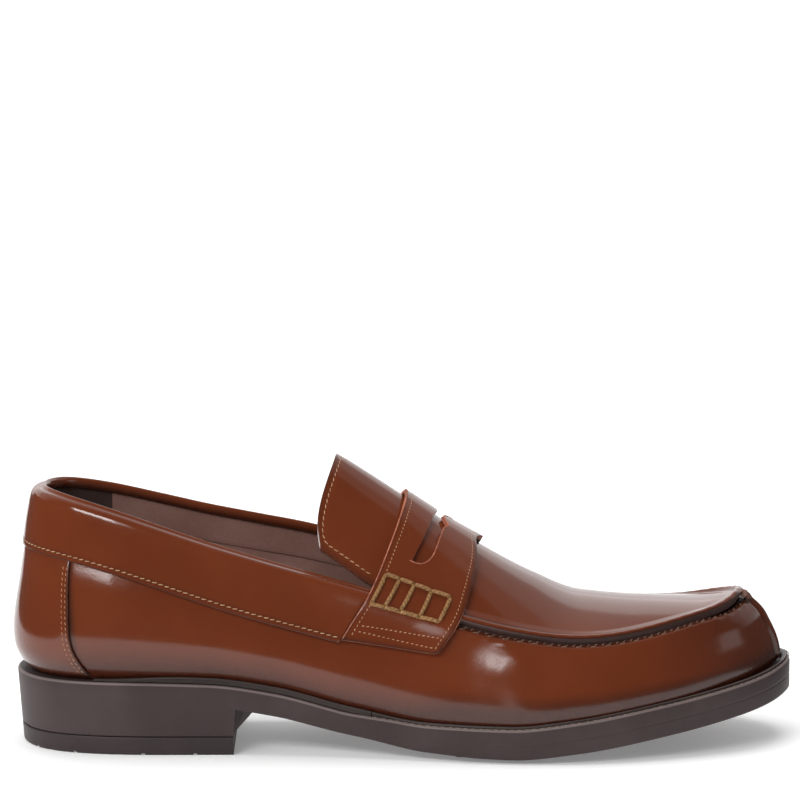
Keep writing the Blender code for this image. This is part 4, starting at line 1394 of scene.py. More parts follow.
@dataclass
class Counter:
    """Heel counter, an overlay between the sole and the collar band."""

    leather: float = 0.9
    clearance: float = 0.45
    foot: float = 0.045
    top_below: float = 19.5
    edge_rows: tuple = ((0.0, 30.0), (0.3, 23.0), (0.8, 21.0))
    row: Stitching = Stitching(2.0, 1.4, 0.42)

    def ends(self, part: Array) -> tuple[Array, Array]:
        """Places of the counter's two front edges, for a share of its height."""
        x = Table(self.edge_rows)(self.foot + part * (0.7 - self.foot))
        return LAST.place_at(Side.MEDIAL, x) - LAST.girth, LAST.place_at(Side.LATERAL, x)

    def face(self, across: Array, part: Array) -> Array:
        """Outer face of the counter.

        Args:
            across: Share of the way round the heel.
            part: Share of the counter's height.

        Returns:
            One point for each place.
        """
        start, end = self.ends(part)
        place = start + (end - start) * across
        top = LAST.share_below(place, self.top_below)
        share = self.foot + part * (top - self.foot)
        normal, _ = LAST.wall_frame(place, share)
        points = LAST.wall(place, share)
        lift = self.clearance + self.leather - 0.4 * soft_step(0.94, 1.0, part)
        return points + normal * (lift + LAST.swell(place, share, points))[..., None]

    def burnish_shade_and_sheen(self, across: Array, part: Array) -> Array:
        """Darker leather: burnish and painted shade along the sole, and darker along the front edges."""
        edge = np.exp(-((1.0 - abs(2.0 * across - 1.0)) / 0.018) ** 2)
        # Burnish and painted shade on the counter's lower part, along the sole.
        return np.clip(0.55 * edge + 0.75 * soft_step(0.3, 0.0, part), 0.0, 1.0)

    def build(self) -> list[Piece]:
        """Make the counter and its stitches.

        Returns:
            The pieces.
        """
        sheet = Sheet(np.linspace(0.0, 1.0, 121), np.linspace(0.0, 1.0, 41), self.face, self.burnish_shade_and_sheen)
        counter = make_piece(
            "heel_counter", sheet.build(), (FINISH.leather, FINISH.dark_edge), ["counter"])
        thicken(counter, self.leather, 0, 1)
        shape = bmesh.new()
        part = np.linspace(0.03, 0.93, 80)
        for across in (0.011, 0.031, 0.969, 0.989):
            self.row.sew_on(shape, self.face, np.full(80, across), part)
        return [counter, make_piece("counter_stitches", shape, (FINISH.orange_thread,))]


@dataclass
class CollarBand:
    """Padded band over the collar's edge, from behind the strap round the heel to the other side."""

    leather: float = 0.8
    front_x: float = 136.55
    drift: float = 0.55
    stitch_step: float = 1.55
    profile: tuple = (
        (0.0, 21.2, 2.3), (1.0, 20.2, 2.4), (2.0, 18.4, 2.43), (3.0, 16.0, 2.53), (4.0, 11.0, 2.7),
        (5.0, 5.5, 2.74), (6.0, 1.5, 2.5), (7.0, -0.6, 1.6), (7.6, -1.4, 0.4), (8.2, -1.8, -0.9),
        (8.5, -2.5, -1.4), (8.8, -3.0, -2.0), (9.2, -2.3, -3.1), (9.5, 0.2, -3.9), (10.0, 1.5, -2.9),
        (11.0, 6.0, -2.9), (12.0, 13.0, -2.8),
    )

    def face(self, along: Array, step: Array) -> Array:
        """Outer face of the band, from its lower edge over the collar to its inner edge.

        Args:
            along: Share of the band's length, from its inner side.
            step: Place on the band's profile.

        Returns:
            One point for each place.
        """
        below, offset = np.moveaxis(Table(self.profile)(step), -1, 0)
        down = np.maximum(below, 0.0)
        place = self.place(along, self.front_x - self.drift * np.where(step < 7.0, down, 0.0))
        share = LAST.share_below(place, down)
        normal, upward = LAST.wall_frame(place, share)
        soft = 0.10 * np.sin(along * 61.0) * np.sin(along * 23.0 + 1.0) * soft_step(1.5, 5.0, step)
        raised = np.maximum(-below, 0.0)
        return LAST.wall(place, share) + normal * (offset + soft)[..., None] + upward * raised[..., None]

    def lined(self, along: float, step: float) -> int:
        """Finish of a cell: leather, or on the lining's side of the collar's edge lining and heel grip.

        Args:
            along: Share of the band's length, from its inner side.
            step: Place on the band's profile.

        Returns:
            Number of the finish.
        """
        if step < 9.9:
            return 0
        place = self.place(np.array(along), np.array(self.front_x))
        return 3 if LAST.rim(place)[3] < LAST.grip_x else 2

    @staticmethod
    def place(along: Array, x: Array) -> Array:
        """Place round the rim, for a band whose two ends lie at x."""
        start = LAST.place_at(Side.MEDIAL, x, True) - LAST.girth
        return start + (LAST.place_at(Side.LATERAL, x, True) - start) * along

    def burnish_shade_and_sheen(self, along: Array, step: Array) -> Array:
        """Darker leather on the lower edge and in the stitched channel, and painted shadow behind the
        collar's lip.

        Args:
            along: Share of the band's length, from its inner side.
            step: Place on the band's profile.

        Returns:
            How dark the leather is painted, from 0 to 1.
        """
        channel = np.exp(-((step - self.stitch_step) / 0.5) ** 2)
        # Painted shadow behind the collar's lip, where the lining starts.
        inside = 0.9 * soft_step(9.25, 9.5, step)
        return np.clip(0.35 * channel + 0.6 * soft_step(0.9, 0.0, step) + inside, 0.0, 1.0)

    def build(self) -> list[Piece]:
        """Make the band and its stitches.

        Returns:
            The pieces.
        """
        rows = steps((0.0, 0), (5.0, 22), (9.6, 36), (12.0, 9))
        sheet = Sheet(np.linspace(0.0, 1.0, 301), rows, self.face, self.burnish_shade_and_sheen, lined=self.lined)
        finishes = (FINISH.leather, FINISH.dark_edge, FINISH.lining, FINISH.heel_grip)
        band = make_piece("collar_padding", sheet.build(), finishes, ["collar_band"])
        thicken(band, self.leather, 0, 1)
        shape = bmesh.new()
        along = np.linspace(0.004, 0.996, 500)
        Stitching().sew_on(shape, self.face, along, np.full(500, self.stitch_step))
        return [band, make_piece("collar_stitches", shape, (FINISH.tan_thread,))]


@dataclass
class Tongue:
    """Tongue behind the strap.

    Each of rows has a share of the way from the strap to the free end, the edges' x, the outer edge's y
    and z, the inner edge's y and z, and the crown's x.
    """

    padding: float = 2.2
    corner: float = 0.12
    corner_power: float = 7.0
    medial_lead: float = 5.0
    hem: float = 2.0
    hem_length: float = 40.0
    hem_half: float = 36.0
    rows: tuple = (
        (0.0, 147.1, -30.2, 61.2, 30.6, 69.2, 158.6), (0.33, 137.0, -28.6, 65.8, 29.4, 74.2, 149.0),
        (0.66, 127.0, -27.2, 72.6, 28.0, 81.2, 137.5), (1.0, 112.2, -25.2, 82.8, 25.0, 90.6, 123.4),
    )

    def base(self, free: Array, across: Array) -> Array:
        """Face of the tongue before its padding, from its free end at 0 to the strap at 1.

        Args:
            free: Share of the way from the free end to the strap.
            across: Place across, from -1 to 1.

        Returns:
            One point for each place.
        """
        reach = 1.0 - self.corner * np.minimum(abs(across), 1.0) ** self.corner_power
        row = Table(self.rows)((1.0 - free) * reach)
        edge_x, lateral_y, lateral_z, medial_y, medial_z, crown_x = np.moveaxis(row, -1, 0)
        lateral = np.stack([edge_x, lateral_y, lateral_z], axis=-1)
        medial = np.stack([edge_x + self.medial_lead * (1.0 - free), medial_y, medial_z], axis=-1)
        top = np.concatenate([crown_x[..., None], LAST.crown(crown_x)], axis=-1)
        return arch(lateral, medial, top, across)

    def hem_distance(self, free: Array, across: Array) -> Array:
        """Rough distance from the tongue's free edges."""
        return np.minimum(free * self.hem_length, (1.0 - abs(across)) * self.hem_half)

    def face(self, free: Array, across: Array) -> Array:
        """Outer face of the tongue, pressed in along its stitches.

        Args:
            free: Share of the way from the free end to the strap.
            across: Place across, from -1 to 1.

        Returns:
            One point for each place.
        """
        distance = self.hem_distance(free, across)
        pressed = -0.22 * np.exp(-((distance - self.hem) / 0.8) ** 2) - 0.35 * soft_step(1.2, 0.0, distance)
        free = np.clip(free, 0.003, 0.997)
        normal = surface_normal(self.base, free, np.clip(across, -0.997, 0.997))
        return self.base(free, across) + normal * pressed[..., None]

    def burnish_shade_and_sheen(self, free: Array, across: Array) -> Array:
        """Darker leather along the edge."""
        return 0.5 * soft_step(2.2, 0.0, self.hem_distance(free, across))

    def build(self) -> list[Piece]:
        """Make the tongue and its stitches.

        Returns:
            The pieces.
        """
        sheet = Sheet(np.linspace(0.0, 1.0, 81), np.linspace(-1.0, 1.0, 141), self.face, self.burnish_shade_and_sheen)
        tongue = make_piece(
            "tongue_leather", sheet.build(), (FINISH.leather, FINISH.lining, FINISH.dark_edge), ["tongue"])
        thicken(tongue, self.padding, 1, 2, 0.5)
        side, back = 1.0 - self.hem / self.hem_half, self.hem / self.hem_length
        round_off = np.linspace(0.0, math.pi / 2.0, 12)
        turn_free = back + 0.05 * (1.0 - np.sin(round_off))
        turn_across = side - 0.06 * (1.0 - np.cos(round_off))
        free = np.concatenate([np.linspace(0.6, back + 0.05, 40), turn_free, np.full(90, back)])
        across = np.concatenate([np.full(40, side), turn_across, np.linspace(side - 0.06, 0.0, 90)])
        shape = bmesh.new()
        Stitching().sew_on(shape, self.face, np.append(free, free[::-1]), np.append(-across, across[::-1]))
        return [tongue, make_piece("tongue_stitches", shape, (FINISH.tan_thread,))]


@dataclass
class Strap:
    """Saddle strap over the instep, with its slot, stitches and ladder cords.

    A place on it is a share from its back edge to its front edge, and how far across the shoe it lies: -1 to
    1 over the instep, and up to 2 on either side down to the strap's end.
    """

    leather: float = 1.9
    clearance: float = 0.7
    back_x: float = 137.0
    front_x: float = 171.5
    end_back: float = 20.0
    end_front: float = 14.5
    drift: float = 0.55
    slot_end: float = 0.72
    slot_corner: float = 0.15
    corner: float = 2.2
    corner_share: float = 0.06
    backing: float = 0.45
    front_lift: float = 0.5
    cord: float = 1.65
    lip: float = 0.3
    edge_row: Stitching = Stitching(1.75, 1.2, 0.4)
    edge_shares: Pair = (0.068, 0.935)
    front_reach: float = 1.5
    front_dip: float = 2.4
    rung_tops: tuple[float, ...] = (0.073, 0.229, 0.397, 0.594, 0.815)
    rung_bottoms: tuple[float, ...] = (0.0675, 0.212, 0.382, 0.595, 0.80)
    rung_top: float = 0.87
    rung_bottom: float = 1.22
    slot_back: tuple = ((0.0, 0.40), (0.4, 0.33), (0.72, 0.28))
    slot_front: tuple = ((0.0, 0.50), (0.10, 0.55), (0.17, 0.60), (0.24, 0.54), (0.45, 0.50), (0.72, 0.48))
    bend: Pair = (0.14, 0.30)

    def flat_base(self, share: Array, across: Array) -> Array:
        """The last's own face under the strap.

        Args:
            share: Share from the back edge to the front edge.
            across: Place across, from -2 to 2.

        Returns:
            One point for each place.
        """
        dip = self.front_dip * np.exp(-((across + 0.1) / 0.25) ** 2)
        reach = self.front_reach * soft_step(-0.12, 0.2, across) - dip
        edge_x = self.back_x + share * (self.front_x + reach - self.back_x)
        over = LAST.instep(edge_x, np.clip(across, -1.0, 1.0))
        turn = np.clip((share - 1.0 + self.corner_share) / self.corner_share, 0.0, 1.0)
        rounded = self.corner * (1.0 - np.sqrt(1.0 - turn ** 2))
        length = self.end_back + share * (self.end_front - self.end_back) - rounded
        down = np.maximum(abs(across) - 1.0, 0.0) * length
        sides = []
        for side in Side:
            place = LAST.place_at(side, edge_x - self.drift * down, True)
            sides.append(LAST.wall(place, LAST.share_below(place, down)))
        beside = np.where(across[..., None] < 0.0, *sides)
        return np.where(abs(across)[..., None] > 1.0, beside, over)

    def base(self, share: Array, across: Array) -> Array:
        """Face under the strap, bent softly where instep and wall meet.

        Args:
            share: Share from the back edge to the front edge.
            across: Place across, from -2 to 2.

        Returns:
            One point for each place.
        """
        side, (above, below) = np.sign(across), self.bend
        part = np.clip((abs(across) - 1.0 + above) / (above + below), 0.0, 1.0)[..., None]
        ends = [self.flat_base(share, side * place) for place in (1.0 - above, 1.0, 1.0 + below)]
        soft = (1.0 - part) ** 2 * ends[0] + 2.0 * part * (1.0 - part) * ends[1] + part ** 2 * ends[2]
        bent = (part > 0.0) & (part < 1.0)
        return np.where(bent, soft, self.flat_base(share, across))

    def face(self, share: Array, across: Array) -> Array:
        """Outer face of the strap.

        Args:
            share: Share from the back edge to the front edge.
            across: Place across, from -2 to 2.

        Returns:
            One point for each place.
        """
        inner = np.clip(share, 0.003, 0.997), np.clip(across, -1.997, 1.997)
        normal = surface_normal(self.base, *inner)
        lifted = self.front_lift * soft_step(0.55, 1.0, share) * soft_step(2.6, 1.1, abs(across))
        return self.base(share, across) + normal * (self.clearance + self.leather + lifted)[..., None]

    def slot_edges(self, across: Array) -> tuple[Array, Array]:
        """Shares of the slot's back and front edges: a rounded end, a notch and a nub in the middle.

        Args:
            across: Place across, from -2 to 2.

        Returns:
            Shares of the back edge and of the front edge.
        """
        out = np.minimum(abs(across), self.slot_end)
        turn = np.clip((out - self.slot_end + self.slot_corner) / self.slot_corner, 0.0, 1.0)
        corner = self.slot_corner * (1.0 - np.sqrt(1.0 - turn ** 2))
        return Table(self.slot_back)(out), Table(self.slot_front)(out) - corner

    def row_share(self, row: Array, across: Array) -> Array:
        """Share from back to front for rows 0 to 5, of which 2 to 3 lie in the slot.

        Args:
            row: Row from 0 at the back edge to 5 at the front edge.
            across: Place across, from -2 to 2.

        Returns:
            Shares from the back edge to the front edge.
        """
        back, front = self.slot_edges(across)
        stops = [np.broadcast_to(stop, back.shape) for stop in (0.0, 0.12, back, front, 0.8, 1.0)]
        index = np.clip(row.astype(int), 0, 4)
        low, high = np.choose(index, stops[:-1]), np.choose(index, stops[1:])
        return low + (row - index) * (high - low)

    def cut_face(self, row: Array, across: Array) -> Array:
        """Outer face of the strap, on rows that follow the slot."""
        return self.face(self.row_share(row, across), across)

    def in_slot(self, row: float, across: float) -> bool:
        """Whether a cell lies in the slot."""
        return 2.0 < row < 3.0 and abs(across) < self.slot_end

    def burnish_shade_and_sheen(self, row: Array, across: Array) -> Array:
        """Darker leather along both edges and the two ends.

        Args:
            row: Row from 0 at the back edge to 5 at the front edge.
            across: Place across, from -2 to 2.

        Returns:
            How dark the leather is rubbed, from 0 to 1.
        """
        share = self.row_share(row, across)
        ends = soft_step(1.86, 2.0, abs(across))
        edges = 0.5 * soft_step(0.05, 0.0, share) + 0.6 * soft_step(0.93, 1.0, share)
        return np.clip(edges + 0.6 * ends, 0.0, 1.0)

    def build(self) -> list[Piece]:
        """Make the strap, its stitches and its cords.

        Returns:
            The pieces.
        """
        rows = steps((0.0, 0), (1.0, 6), (2.0, 9), (3.0, 9), (4.0, 13), (5.0, 9))
        end = self.slot_end
        across = steps((-2.0, 0), (-1.0, 26), (-end, 24), (end, 90), (1.0, 24), (2.0, 26))
        sheet = Sheet(rows, across, self.cut_face, self.burnish_shade_and_sheen, self.in_slot)
        strap = make_piece(
            "saddle_strap", sheet.build(), (FINISH.leather, FINISH.dark_edge, FINISH.raw_edge), ["strap"])
        thicken(strap, self.leather, 1, 2)
        under = Sheet(np.linspace(0.12, 0.78, 25), np.linspace(-0.92, 0.92, 61), self.backing_face)
        backing = make_piece("slot_backing", under.build(), (FINISH.leather,), ["strap"])
        return [strap, backing, self.stitches(), self.cords(), self.raw_lips()]

    def backing_face(self, share: Array, across: Array) -> Array:
        """Leather seen through the slot, just under the strap."""
        return self.base(share, across) + surface_normal(self.base, share, across) * self.backing

    def stitches(self) -> Piece:
        """Rows along both edges, and two rows along each end.

        Returns:
            All of the stitches as one piece.
        """
        shape = bmesh.new()
        over = np.linspace(-1.88, 1.88, 400)
        for share in self.edge_shares:
            self.edge_row.sew_on(shape, self.face, np.full(400, share), over)
        along = np.linspace(0.1, 0.915, 60)
        for side in (-1.0, 1.0):
            for across in (1.76 + 0.09 * along, 1.65 - 0.10 * along):
                self.edge_row.sew_on(shape, self.face, along, side * across)
        return make_piece("strap_stitches", shape, (FINISH.tan_thread,))

    def cords(self) -> Piece:
        """Ladder of thick cord on both sides: rungs, and rails between their ends.

        Returns:
            All of the cords as one piece.
        """
        shape = bmesh.new()
        for side in (-1.0, 1.0):
            rails = [
                [(share, side * across) for share in shares]
                for shares, across in ((self.rung_tops, self.rung_top), (self.rung_bottoms, self.rung_bottom))
            ]
            for ends in (*zip(*rails), *(pair for rail in rails for pair in zip(rail, rail[1:]))):
                self.lay_cord(shape, *ends)
        return make_piece("ladder_cords", shape, (FINISH.cord,))

    def lay_cord(self, shape: Mesh, start: Pair, end: Pair) -> None:
        """Lay one stitch of cord on the strap, with both ends going down into it.

        Args:
            shape: Mesh that the cord is added to.
            start: Share and place across of one end.
            end: Share and place across of the other end.
        """
        share, across = np.linspace(start, end, 25).T
        part = np.linspace(-1.0, 1.0, 25)
        normal = surface_normal(self.face, share, across)
        height = self.cord * (0.36 - 0.95 * abs(part) ** 5)
        lay_tube(shape, Line(self.face(share, across) + normal * height[:, None]), normal, self.cord / 2.0)

    def raw_lips(self) -> Piece:
        """Pale raw edges of the cut leather, along the back edge and the front of the slot.

        Returns:
            All of the lips as one piece.
        """
        shape = bmesh.new()
        over = np.linspace(-1.97, 1.97, 300)
        end = self.slot_end
        slot = np.linspace(-end, end, 160)
        corner = np.linspace(0.0, 1.0, 14)
        back, front = self.slot_edges(np.full(14, end))
        tail = back - 0.03 + (front - back + 0.03) * corner
        lines = [(np.full(300, 0.0), over), (self.slot_edges(slot)[1], slot)]
        lines += [(tail, np.full(14, side * end)) for side in (-1.0, 1.0)]
        for share, across in lines:
            inner = np.clip(share, 0.004, 1.0), across
            normal = surface_normal(self.face, *inner)
            lay_tube(shape, Line(self.face(*inner) - 0.12 * normal), normal, self.lip, 6)
        return make_piece("strap_raw_lips", shape, (FINISH.raw_edge,))


@dataclass
class Sole:
    """Sole unit with its heel block and tread, the top lift and the insole."""

    side_rows: tuple = (
        (28.0, 8.8), (36.3, 8.8), (45.7, 8.3), (53.3, 9.0), (59.3, 10.0), (70.0, 10.5), (80.0, 10.8),
        (100.3, 10.5),
    )
    across: tuple[float, ...] = (-1.0, -0.97, -0.80, -0.30, -0.22, 0.22, 0.30, 0.80, 0.97, 1.0)
    lug_cells: tuple[int, ...] = (2, 4, 6)
    chamfer: float = 1.1
    groove_drop: float = 4.7
    groove_look: float = 0.1
    groove_half: float = 0.45
    groove_starts: Pair = (132.0, 146.0)
    bottom_round: float = 0.9
    taper: float = 0.075
    breast_x: float = 85.0
    breast_step: float = 0.4
    breast_ramp: float = 11.0
    ramp_fade: float = 20.0
    lift_height: float = 7.0
    lug_first: float = 150.0
    lug_length: float = 10.0
    lug_pitch: float = 14.0
    lug_count: int = 8
    lug_height: float = 1.65
    lug_draft: float = 0.95
    contact: Pair = (170.0, 204.0)
    insole_gap: float = 0.45
    insole_inset: float = 2.65
    notches: tuple[float, ...] = (7.0, 23.0, 50.0, 70.0)
    notch_depth: float = 0.8
    notch_half: Pair = (0.9, 0.45)
    groove_shape: tuple = (
        (-1.6, 0.0), (-1.0, 0.0), (-0.6, 0.45), (0.0, 1.0), (0.6, 0.45), (1.0, 0.0), (1.6, 0.0),
    )
    bottom_shape: tuple = ((1.0, 0.0), (0.6, 0.03), (0.25, 0.16), (0.05, 0.4), (0.0, 0.62))
    lift_shape: tuple = ((0.0, 0.6), (0.1, 0.35), (0.35, 0.1), (0.8, 0.0), (6.6, 0.0), (7.0, 0.25))
    insole_shape: tuple = ((0.0, 0.0), (2.0, 0.0), (2.6, 0.3), (3.0, 1.1))

    @cached_property
    def depth(self) -> Table:
        """Depth of the sole's side ahead of the heel."""
        return Table(self.side_rows, LAST.length, 100.0)

    @property
    def lug_marks(self) -> list[float]:
        """Both edges of each row of lugs."""
        firsts = [self.lug_first + self.lug_pitch * lug for lug in range(self.lug_count)]
        return [x for first in firsts for x in (first, first + self.lug_length)]

    def stations(self, marks: Sequence[float], end: float | None = None) -> Array:
        """Places along X for rows across the sole.

        Args:
            marks: Places that have a row.
            end: Where the rows stop, or None for the toe.

        Returns:
            Rising places, close together at heel and toe.
        """
        tip = float(LAST.rim(LAST.toe_place)[0])
        turn = np.linspace(0.0, math.pi, 150)
        spread = tip / 2.0 * (1.0 - np.cos(turn))
        free = [x for x in spread if all(abs(x - mark) > 0.9 for mark in marks)]
        kept = [x for x in sorted([*free, *marks]) if end is None or x <= end]
        return np.array(kept)

    def layer(self, xs: Array, inset: Array, height: Callable[[Array], Array]) -> Array:
        """Points of one level of the sole, row by row.

        Args:
            xs: Places of the rows.
            inset: How far each row's ends lie inside the sole's outline.
            height: Height of the level, from x.

        Returns:
            Points in an array of rows and places across.
        """
        ends = [LAST.outline(LAST.place_at(side, xs), inset)[0] for side in Side]
        share = (np.array(self.across)[:, None] + 1.0) / 2.0
        flat = ends[0][:, None, :] * (1.0 - share) + ends[1][:, None, :] * share
        return np.concatenate([flat, height(flat[..., 0])[..., None]], axis=-1)

    def stack(
        self, layers: Sequence[Array], toned: Sequence[int] = ()
    ) -> tuple[Mesh, list, Any]:
        """Draw a plate through levels of points.

        Args:
            layers: Points of each level.
            toned: Numbers of the levels that are painted pale as a painted highlight.

        Returns:
            The mesh, the faces of its last level, and the layer that numbers its points.
        """
        rows, places = layers[0].shape[:2]

        def top(row: Array, place: Array) -> Array:
            """Points of the first level."""
            return layers[0][row.astype(int), place.astype(int)]

        shape = Sheet(np.arange(float(rows)), np.arange(float(places)), top).build()
        number = shape.verts.layers.int.new("number")
        first = LAST.metres(layers[0]).reshape(-1, 3)
        for corner in shape.verts:
            corner[number] = int(np.argmin(((first - np.array(corner.co)) ** 2).sum(axis=1)))
        cap = shape.faces[:]
        dark = shape.verts.layers.float["burnish_shade_and_sheen"]
        for index, level in enumerate(layers[1:], 1):
            points = LAST.metres(level).reshape(-1, 3)
            cap, corners = self.draw_out(shape, cap)
            for corner in corners:
                corner.co, corner[dark] = points[corner[number]], float(index in toned)
        return shape, cap, number

    @staticmethod
    def draw_out(shape: Mesh, faces: Sequence) -> tuple[list, list]:
        """Extrude faces with none left behind them.

        Args:
            shape: Mesh of the plate.
            faces: Faces that are drawn out.

        Returns:
            The new faces and the new points.
        """
        edges = {edge for face in faces for edge in face.edges}
        grown = bmesh.ops.extrude_face_region(shape, geom=[*faces, *edges])["geom"]
        cap = [item for item in grown if isinstance(item, bmesh.types.BMFace)]
        return cap, [item for item in grown if isinstance(item, bmesh.types.BMVert)]

    def side_bottom(self, x: Array) -> Array:
        """Lower edge of the sole's side ahead of the heel."""
        return LAST.seat(x) - self.depth(x)

    def base(self, x: Array) -> Array:
        """Lower face of heel block and forepart."""
        return np.where(x < self.breast_x, self.lift_height + LAST.gap, self.side_bottom(x))

    def build(self) -> list[Piece]:
        """Make sole unit, top lift and insole.

        Returns:
            The pieces.
        """
        return [self.outsole(), self.top_lift(), self.insole()]

    def outsole(self) -> Piece:
        """Sole unit with chamfered edge, side groove, heel breast and tread lugs.

        Returns:
            The piece.
        """
        breast = [self.breast_x - self.breast_step, self.breast_x + self.breast_step]
        xs = self.stations([*breast, *self.lug_marks])

        def side(drop: Array | float, extra: Array | float, height: Callable[[Array], Array]) -> Array:
            """Level of the sole's side, drawn in with its drop below the sole's top at the heel."""
            return self.layer(xs, np.where(xs < self.breast_x, self.taper * drop, 0.0) + extra, height)

        layers = [side(0.0, self.chamfer + 0.05, LAST.seat)]
        for turn in np.linspace(0.0, math.pi / 2.0, 5):
            drop, extra = self.chamfer * (1.0 - math.cos(turn)), self.chamfer * (1.0 - math.sin(turn))
            layers.append(side(drop, extra, lambda x: LAST.seat(x) - drop + LAST.lip(x)))
        grooved = self.groove_look * soft_step(*self.groove_starts, xs)
        for part, depth in self.groove_shape:
            drop = self.groove_drop + part * self.groove_half
            layers.append(side(drop, depth * grooved, lambda x: LAST.seat(x) - drop))
        for part, extra in self.bottom_shape:
            rise = part * self.bottom_round
            drop = LAST.seat(xs) - self.base(xs) - rise
            layers.append(side(drop, extra * self.bottom_round, lambda x: self.base(x) + rise))
        self.ramp_breast(layers[-1], xs)
        # Levels 2 to 4, round the chamfer, are painted pale: a painted highlight along the sole's top edge.
        shape, cap, number = self.stack(layers, (2, 3, 4))
        self.raise_lugs(shape, cap, number, xs)
        return make_solid("sole_unit", shape, FINISH.sole, "outsole", 32.0)

    def ramp_breast(self, points: Array, xs: Array) -> None:
        """Carry the waist's middle forward, so that the heel breast slopes into it.

        Args:
            points: Points of the lower face, which are moved.
            xs: Places of its rows.
        """
        ahead = xs > self.breast_x
        fade = np.exp(-(xs[ahead] - self.breast_x) / self.ramp_fade)[:, None]
        points[ahead, :, 0] += self.breast_ramp * (1.0 - np.array(self.across) ** 2) * fade
        points[ahead, :, 2] = self.side_bottom(points[ahead, :, 0])

    def raise_lugs(self, shape: Mesh, cap: list, number: Any, xs: Array) -> None:
        """Draw the tread's lugs out of the sole's lower face.

        Args:
            shape: Mesh of the sole unit.
            cap: Faces of its lower face.
            number: Layer that numbers its points.
            xs: Places of the rows across it.
        """
        width = len(self.across)
        marks = self.lug_marks
        lugs = {}
        for face in cap:
            rows, places = np.divmod([corner[number] for corner in face.verts], width)
            middle, cell = xs[rows].mean(), int(places.min())
            for lug, (start, end) in enumerate(zip(marks[::2], marks[1::2])):
                if start < middle < end and cell in self.lug_cells and len(set(places)) == 2:
                    lugs.setdefault((lug, cell), []).append(face)
        for faces in lugs.values():
            corners = self.draw_out(shape, faces)[1]
            middle = sum((corner.co for corner in corners), Vector()) / len(corners)
            for corner in corners:
                corner.co = middle + (corner.co - middle) * self.lug_draft
                x = corner.co.x / MM + LAST.origin[0]
                flat = self.contact[0] < x < self.contact[1]
                low = max(float(self.side_bottom(x)) - self.lug_height, 0.0)
                corner.co.z = 0.0 if flat else low * MM

    def top_lift(self) -> Piece:
        """Top lift under the heel, with grooves across its lower face.

        Returns:
            The piece.
        """
        wide, narrow = self.notch_half
        notch_marks = [x + shift for x in self.notches for shift in (-wide, -narrow, narrow, wide)]
        front = self.breast_x - self.breast_step
        xs = self.stations([*notch_marks, front], front)
        cut = self.notch_depth * np.max([soft_step(wide, narrow, abs(xs - x)) for x in self.notches], axis=0)
        layers = []
        for height, extra in self.lift_shape:
            rise = np.maximum(height, cut) if height < 2.0 else np.full(len(xs), height)
            layer = self.layer(xs, self.taper * (LAST.seat_height - rise) + extra, np.zeros_like)
            layer[..., 2] = rise[:, None]
            layers.append(layer)
        return make_solid("top_lift", self.stack(layers)[0], FINISH.lift, "heel_top_lift", 32.0)

    def insole(self) -> Piece:
        """Insole with a soft edge.

        Returns:
            The piece.
        """
        xs = self.stations([])
        inset = LAST.rim(LAST.place_at(Side.LATERAL, xs))[:, 2] + self.insole_inset
        layers = []
        for height, extra in self.insole_shape:
            rise = self.insole_gap + height
            layers.append(self.layer(xs, inset + extra, lambda x: LAST.seat(x) + rise))
        return make_solid("sock_insole", self.stack(layers)[0], FINISH.lining, "insole", 40.0)


